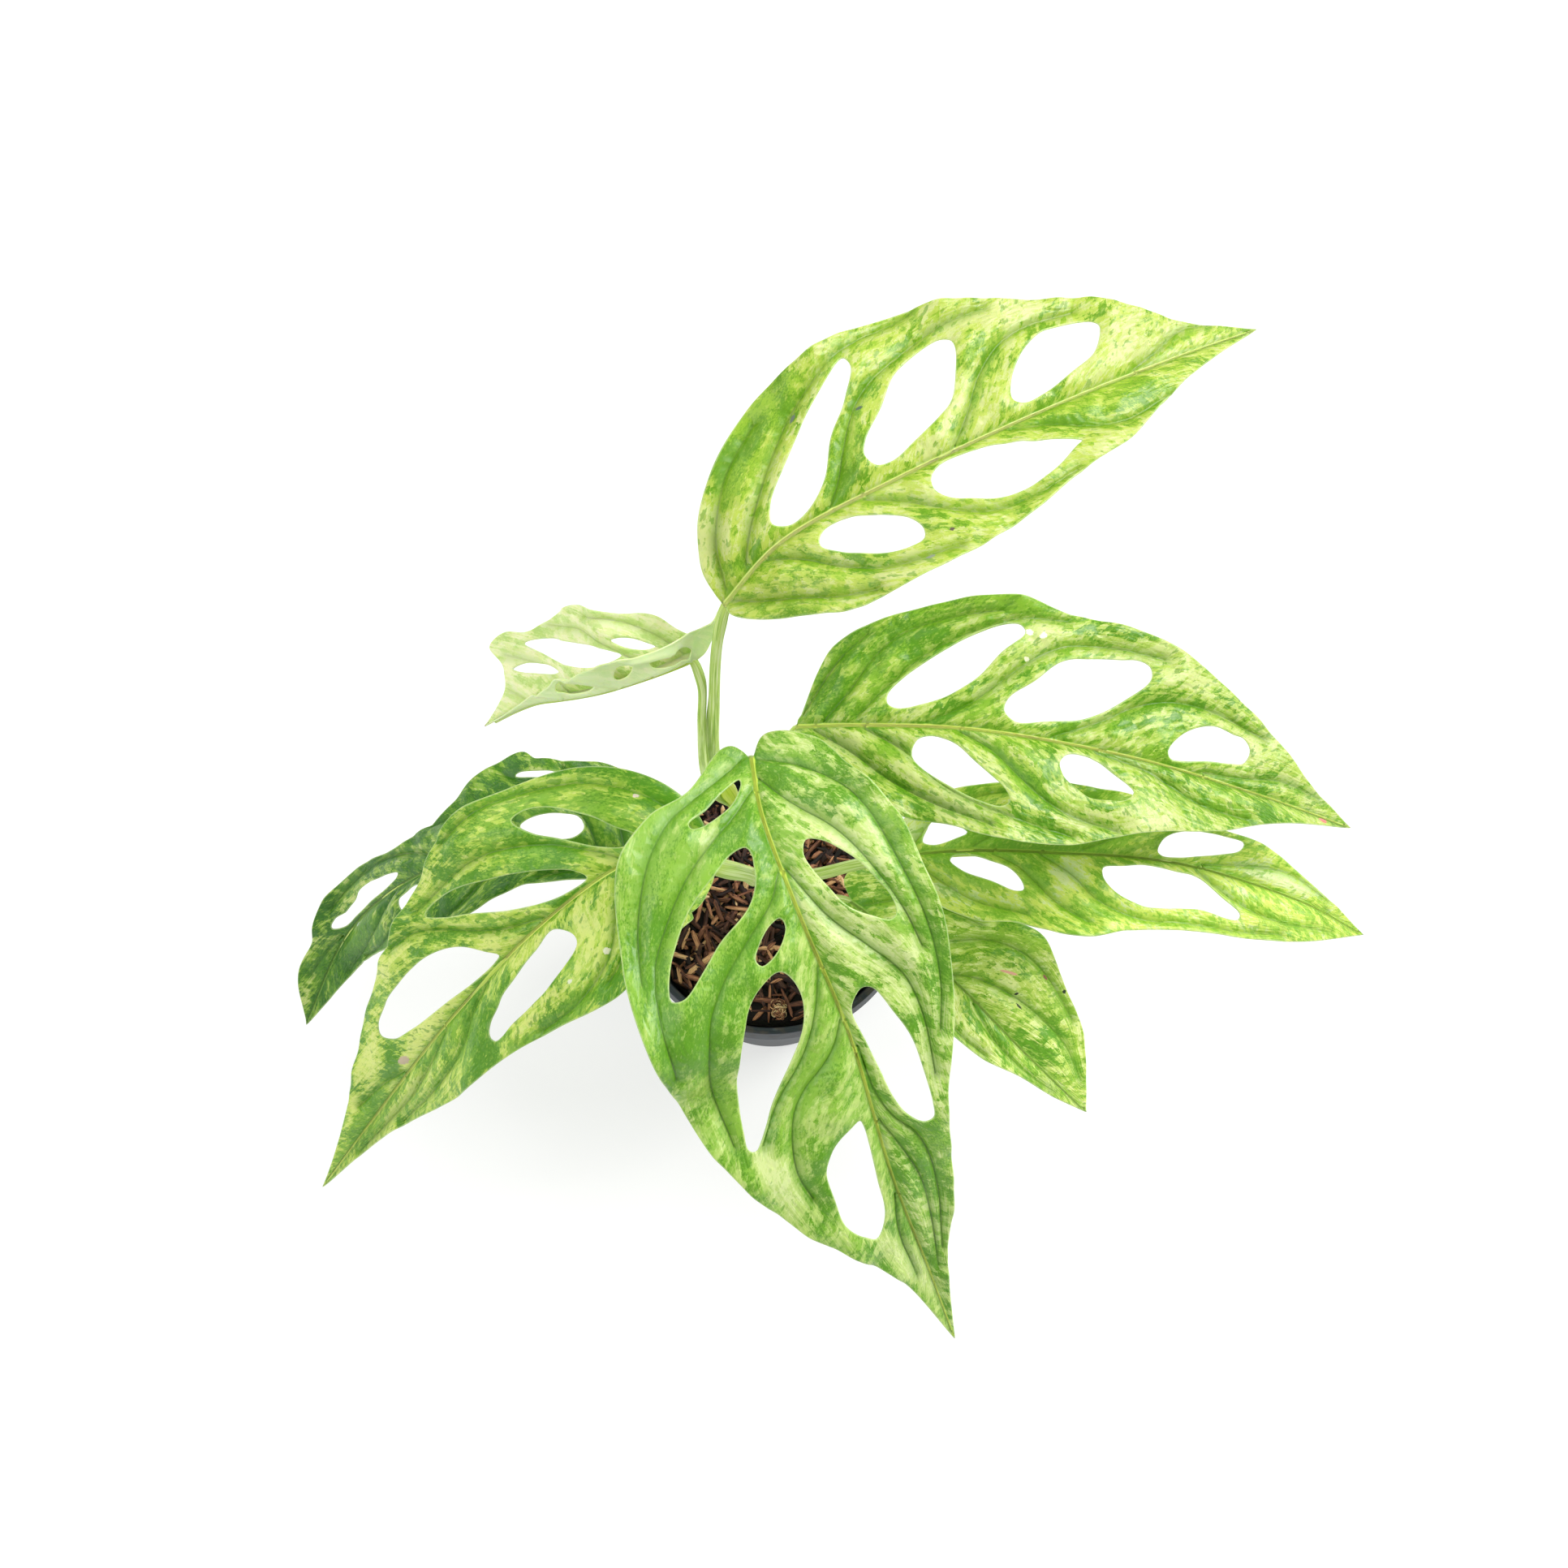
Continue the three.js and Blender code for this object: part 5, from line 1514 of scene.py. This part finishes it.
# leaf_front is the largest leaf. It arches up from the stem and hangs over the front of the pot,
# deeply quilted between its side veins, with seven holes and a long drip tip.
grow_leaf(
    "leaf_front",
    blade_skin(
        "mottled_leaf_front",
        51,
        deep=(88, 144, 20), green=(133, 177, 57), lime=(185, 206, 114), cream=(209, 219, 154),
        under=(179, 208, 137), rib=(200, 222, 80), painted_crease_shade=0.6, lime_at=0.52, cream_at=0.66, fleck_at=0.68,
    ),
    patches=[
        (30, 14, 24, 7, 35, 0.2), (12, 8, 6, 5, 40, -0.2), (22, 4, 8, 3, 10, -0.15),
        (32, 7, 5, 2, 10, -0.25), (66, 24, 5, 2, 30, -0.2), (50, 33, 45, 4, 0, -0.12),
        (60, 11, 20, 7, 20, 0.22), (88, 24, 14, 6, 10, 0.12), (108, 19, 18, 2, 0, 0.3),
        (100, 4, 16, 2, 8, 0.1), (135, 13, 14, 5, -5, -0.15), (160, 5, 24, 3, 0, 0.05),
        (205, 0, 14, 4, 0, 0.05), (24, -17, 9, 2, 45, 0.2), (85, -16, 14, 3, 40, 0.15),
        (98, -12, 12, 4, 45, -0.2), (128, -31, 16, 4, -10, 0.2), (118, -35, 10, 3, -20, 0.15),
        (95, -39, 24, 2, 0, -0.2), (175, -6, 20, 4, -15, 0.25), (150, -5, 14, 2, 0, 0.1),
        (40, -30, 45, 22, 40, -0.12),
    ],
    stalk=[(-4, 5, 124), (-4, -1, 134), (-5, 0, 160), (-5.6, 3, 195)],
    stalk_radius=(2.3, 1.8),
    rib=[
        (-5, 3, 215), (-2, -16, 221), (8, -43, 218), (22, -71, 195), (35, -104, 158), (47, -126, 122),
        (56, -144, 96),
    ],
    wave=(1.6, 54),
    left=dict(
        fold=(10, 6), curl=(3, 3),
        edge=[
            (0, 0), (-5, 4), (-5, 9), (-1, 18), (16, 29), (35, 36), (54, 37), (72, 36), (94, 31),
            (118, 22), (150, 17), (166, 13), (185, 6), (216, 0),
        ],
        holes=[
            [
                (32.5, 9), (34, 13), (38, 17), (43, 20.5), (50, 23.5), (57, 25.5), (62, 25), (63, 22.5),
                (60, 18.5), (54, 13), (47, 10), (41, 7.8), (36, 7),
            ],
            [
                (78, 7.5), (79.5, 10.5), (88, 13.5), (98, 16.3), (108, 17), (120, 17), (125.5, 16),
                (126, 13), (122, 9), (115, 6.5), (106, 5), (95, 3.5), (85, 2.5), (81, 4),
            ],
        ],
        veins=[
            [(1, 1), (6, 12), (14, 21), (28, 28), (45, 31), (65, 32), (85, 30), (100, 25)],
            [(8, 1), (20, 9), (32, 18), (45, 23.5), (60, 27), (75, 28)],
            [(38, 1), (55, 7), (68, 14), (80, 20), (92, 21.5), (112, 20)],
            [(96, 1), (112, 2), (122, 5), (130, 10), (140, 12), (158, 11), (180, 6)],
            [(122, 1), (134, 5), (148, 7.5), (165, 6.5), (186, 3)],
        ],
    ),
    right=dict(
        mottle=0.45, fold=(10, 6), curl=(3, 3),
        edge=[
            (0, 0), (-3, 5), (-1, 9), (12, 19), (17, 31), (25, 43), (46, 51), (66, 54), (92, 52),
            (104, 50), (125, 41), (145, 31), (158, 22), (170, 15), (186, 8), (216, 0),
        ],
        holes=[
            [(9, 4.5), (12, 9), (17, 15), (20, 21), (21.3, 20.5), (20, 14), (17, 8), (13, 5), (10, 4)],
            [
                (29, 7.5), (29.5, 12), (33, 18), (39, 28), (47, 36), (55, 42), (57, 42.5), (57.5, 39),
                (54, 31), (49, 22), (44, 12.5), (39, 8.5), (34, 7), (31, 6.5),
            ],
            [(49.8, 5.5), (50.5, 9), (54, 14), (57, 16.8), (58.8, 16), (58.5, 12.5), (56, 8), (52.5, 5)],
            [
                (62, 12), (63, 18), (68, 25), (76, 30), (86, 33.5), (98, 36), (108, 37.3), (114, 37.5),
                (115.5, 35.5), (110, 30.5), (104, 27.5), (93, 20), (85, 14), (79, 10.5), (73, 9),
                (66, 9.5),
            ],
            [
                (118.8, 4.5), (120, 9), (124, 15), (130, 18.3), (140, 18.8), (150, 18.5), (157, 14.5),
                (160, 11.5), (158, 8.5), (150, 5.5), (140, 4.5), (128, 3.8), (121, 3.8),
            ],
        ],
        veins=[
            [(1, 3), (8, 10), (14, 18), (19, 27), (26, 35), (38, 43), (52, 48)],
            [(12, 1), (19, 7), (25, 16), (31, 25), (39, 34), (50, 43), (62, 48), (78, 50)],
            [(38, 1), (45, 6), (52, 16), (58, 26), (66, 35), (78, 40), (95, 42), (112, 41)],
            [(68, 1), (80, 7), (92, 15), (103, 25), (115, 33)],
            [(86, 1), (93, 5.5), (98, 11), (102, 16.5), (108, 21.5), (117, 24.8), (128, 26), (138, 24)],
            [(150, 1), (165, 4), (185, 4)],
        ],
    ),
    seed=51,
)


# leaf_left is the large leaf at the front left, with four holes, a lime half and a green one.
grow_leaf(
    "leaf_left",
    blade_skin(
        "mottled_leaf_left",
        61,
        deep=(82, 141, 15), green=(128, 175, 47), lime=(188, 210, 84), cream=(215, 222, 130),
        under=(188, 219, 144), rib=(212, 230, 104), lime_at=0.52, cream_at=0.68, fleck_at=0.61,
        scars=[
            (51.5, 19.2, 1.1, 0.9, 0, (226, 222, 200)),
            (64.3, 20, 0.8, 0.6, 0, (220, 222, 196)),
            (145, -3, 2.6, 1.3, 10, (190, 172, 146)),
            (23, -18, 0.9, 0.7, 0, (222, 206, 196)),
        ],
    ),
    patches=[
        (50, 13, 14, 8, 65, 0.22), (80, 19.5, 20, 2.2, 0, 0.2), (75, 26, 25, 3, -8, -0.2),
        (70, 3, 14, 2, 5, 0.1), (90, 9, 12, 2, 12, -0.15), (108, 12, 9, 9, 0, -0.2),
        (127, 15, 8, 2.5, -5, 0.15), (165, 10, 40, 1.5, -5, 0.1), (160, 5, 28, 1.6, 0, 0.35),
        (125, 3.5, 22, 1.5, 3, -0.15), (175, 2, 26, 1.2, 0, -0.2), (45, -22, 30, 14, 30, -0.12),
        (37, -5, 6, 2, 50, 0.5), (70, -26.5, 6, 1.8, 20, 0.5), (80, -28, 8, 1, 10, 0.25),
        (27, -23, 10, 3, 50, 0.15), (60, -36, 20, 2, 10, 0.1), (85, -36, 16, 2, -5, 0.1),
        (80, -5, 12, 4, 35, 0.25), (62, -9, 14, 4, 35, -0.2), (118, -25, 22, 4, 0, 0.2),
        (130, -27, 26, 1.5, 8, 0.2), (122, -3.5, 36, 3, -3, 0.35), (158, -10, 14, 5, -25, 0.3),
        (175, -3, 25, 2, -3, -0.3), (175, -9.5, 22, 1.5, -18, 0.3),
    ],
    stalk=[(-1, 3, 108), (-4.5, -4, 116), (-5.5, -10, 135), (-8, -14, 153)],
    stalk_radius=(2.4, 2),
    rib=[
        (-15, -15, 165), (-26, -13, 174), (-43, -19, 180), (-66, -34, 172), (-94, -53, 140),
        (-121, -70, 90), (-145, -88, 46),
    ],
    wave=(1.5, 52),
    left=dict(
        fold=(8, 6), curl=(3, 3),
        edge=[
            (0, 0), (2, 8), (6, 17), (32, 27), (53, 32), (59, 32), (78, 27), (101, 22), (124, 20),
            (162, 11), (184, 6), (222, 0),
        ],
        holes=[
            [
                (56.5, 9), (57, 12.5), (63, 15.5), (71, 17.2), (80, 17), (90, 16.7), (96, 17.3),
                (100, 16.5), (100.5, 14.5), (97, 11), (90, 9), (81, 7.5), (70, 5), (61, 4),
            ],
        ],
        veins=[
            [(4, 1), (12, 10), (24, 20), (38, 26)],
            [(18, 1), (30, 10), (42, 20), (56, 27)],
            [(34, 1), (43, 12), (52, 21), (66, 26), (84, 24)],
            [(92, 1), (104, 4), (112, 8), (122, 10.5), (140, 11), (165, 9)],
            [(118, 1), (132, 4), (150, 6), (172, 5), (195, 3)],
        ],
    ),
    right=dict(
        fold=(8, 6), curl=(3, 3),
        edge=[
            (0, 0), (8, 8), (16, 19), (23, 26), (36, 34), (51, 39), (68, 42), (83, 39), (107, 33),
            (135, 26), (154, 20), (166, 15), (193, 6), (222, 0),
        ],
        holes=[
            [
                (26, 5), (31, 4.5), (37, 8), (45, 17), (50, 23), (52, 29), (48, 29.5), (42, 26), (36, 18),
                (31, 11), (27, 7),
            ],
            [
                (44, 2), (46, 6), (52, 11), (60, 16), (68, 20), (76, 24), (86, 27.5), (95, 28.5),
                (97, 27.5), (90, 22), (82, 17.5), (75, 13), (68, 8.5), (60, 4.5), (52, 2),
            ],
            [
                (82, 2), (84, 5), (90, 11), (97, 15.5), (105, 18), (115, 19.2), (128, 19.3), (136, 18.5),
                (144, 16.5), (147, 14), (142, 9.5), (132, 7), (120, 5), (108, 3.5), (96, 1.8), (86, 1.3),
            ],
        ],
        veins=[
            [(6, 1), (16, 13), (28, 24), (42, 33), (56, 38), (76, 39)],
            [(32, 1), (40, 9), (48, 17), (58, 23.5), (70, 28), (84, 30), (100, 31)],
            [(62, 1), (74, 6), (84, 12.5), (94, 20), (105, 26.5), (118, 29)],
            [(150, 1), (163, 4), (180, 6)],
        ],
    ),
    seed=61,
)


# leaf_left_low is the darker leaf under and behind it: its colours are its own deeper green,
# darkened further as painted shade from the leaf above. It droops most of all, and only a little
# of it has turned lime.
grow_leaf(
    "leaf_left_low",
    blade_skin(
        "deep_leaf",
        71,
        # These colours are darker than the other leaves' partly as painted shade from the leaf above it.
        deep=(46, 104, 0), green=(81, 134, 17), lime=(140, 175, 55), cream=(197, 205, 126),
        under=(164, 194, 127), rib=(122, 168, 58), lime_at=0.6, cream_at=0.76, fleck_at=0.68,
        scars=[
            (127, 1.4, 1.6, 0.5, 0, (196, 214, 190)),
        ],
    ),
    patches=[
        (76, 8, 12, 2, 20, 0.2), (98, 7, 7, 6, 40, 0.25), (110, 14, 20, 3, 0, -0.1),
        (140, 6, 30, 3, 0, -0.15), (120, -7, 24, 2, 0, 0.15),
        (172, -5, 10, 3, 0, 0.3), (150, -8, 8, 3, 0, 0.2), (145, -3, 6, 3, 0, 0.1),
        (30, -26, 20, 4, 0, 0.12), (85, -7, 20, 3, 0, 0.1),
    ],
    stalk=[(2, 1, 90), (-8, 4, 95), (-24, 4.5, 107)],
    stalk_radius=(2, 1.7),
    rib=[
        (-43, 4, 118), (-62, 2, 129), (-82, 1, 127), (-104, 1, 112), (-125, -1, 84), (-141, -7, 54),
        (-157, -28, 20),
    ],
    wave=(1.2, 44),
    left=dict(
        fold=(6, 6), curl=(3, 3),
        edge=[
            (0, 0), (-1, 3), (2, 7), (10, 10), (25, 11), (38, 12), (50, 18), (59, 22), (71, 22), (86, 21),
            (128, 13), (152, 8), (182, 0),
        ],
        holes=[
            [(70, 8), (73, 11), (80, 12.5), (87, 11.5), (91.8, 8.5), (91, 5.3), (86, 3.6), (77, 4)],
        ],
        veins=[
            [(4, 1), (16, 6), (32, 9)],
            [(36, 1), (48, 7), (58, 15), (72, 19)],
            [(62, 1), (76, 5), (92, 11), (112, 14), (132, 11)],
            [(95, 1), (104, 4), (114, 8), (128, 9), (150, 7)],
        ],
    ),
    right=dict(
        fold=(4, 6), curl=(6, 3),
        edge=[
            (0, 0), (-4, 9), (-2, 25), (23, 29), (32, 30), (37, 33), (52, 26), (67, 17), (88, 12),
            (115, 14), (139, 13), (149, 9), (164, 9), (182, 0),
        ],
        holes=[
            [
                (16, 9.5), (16.5, 6), (20, 3), (26, 2.5), (33, 4.5), (37, 7), (33, 9.5), (26, 10.7),
                (19, 10.5),
            ],
            [(15, 22.6), (22, 24.3), (30, 25.6), (38, 26.4), (40, 25.4), (33, 24), (25, 22.8), (18, 22)],
            [
                (91.5, 3.5), (94, 2.3), (105, 1.6), (116, 1.4), (128, 1.4), (136, 2.2), (139.5, 5),
                (136, 6.2), (130, 4.9), (124, 5), (117, 6.2), (111, 7), (105, 6), (98, 5),
            ],
        ],
        veins=[
            [(2, 2), (4, 12), (10, 22), (22, 27)],
            [(12, 1), (16, 10), (28, 20), (44, 26)],
            [(40, 1), (46, 8), (56, 14), (74, 14)],
            [(66, 1), (78, 6), (94, 10), (116, 11.5), (136, 10)],
            [(140, 1), (150, 3), (162, 5)],
        ],
    ),
    seed=71,
)


# The floor under the pot is plain and pale. It isn't part of the plant.
FLOOR_SIDE = 16.0
FLOOR_GREY = (0.45, 0.45, 0.45, 1)
FLOOR_GLOW = 0.55


def make_floor():
    half = FLOOR_SIDE / 2
    corners = [(-half, -half, 0), (half, -half, 0), (half, half, 0), (-half, half, 0)]
    mesh = bpy.data.meshes.new("floor")
    mesh.from_pydata(corners, [], [(0, 1, 2, 3)])
    material, _, _ = new_material(
        "pale_floor",
        Base_Color=FLOOR_GREY,
        Emission_Color=(1, 1, 1, 1),
        Emission_Strength=FLOOR_GLOW,
        Specular_IOR_Level=0.2,
        Roughness=0.9,
    )
    mesh.materials.append(material)
    floor = bpy.data.objects.new("floor", mesh)
    bpy.context.scene.collection.objects.link(floor)


make_floor()
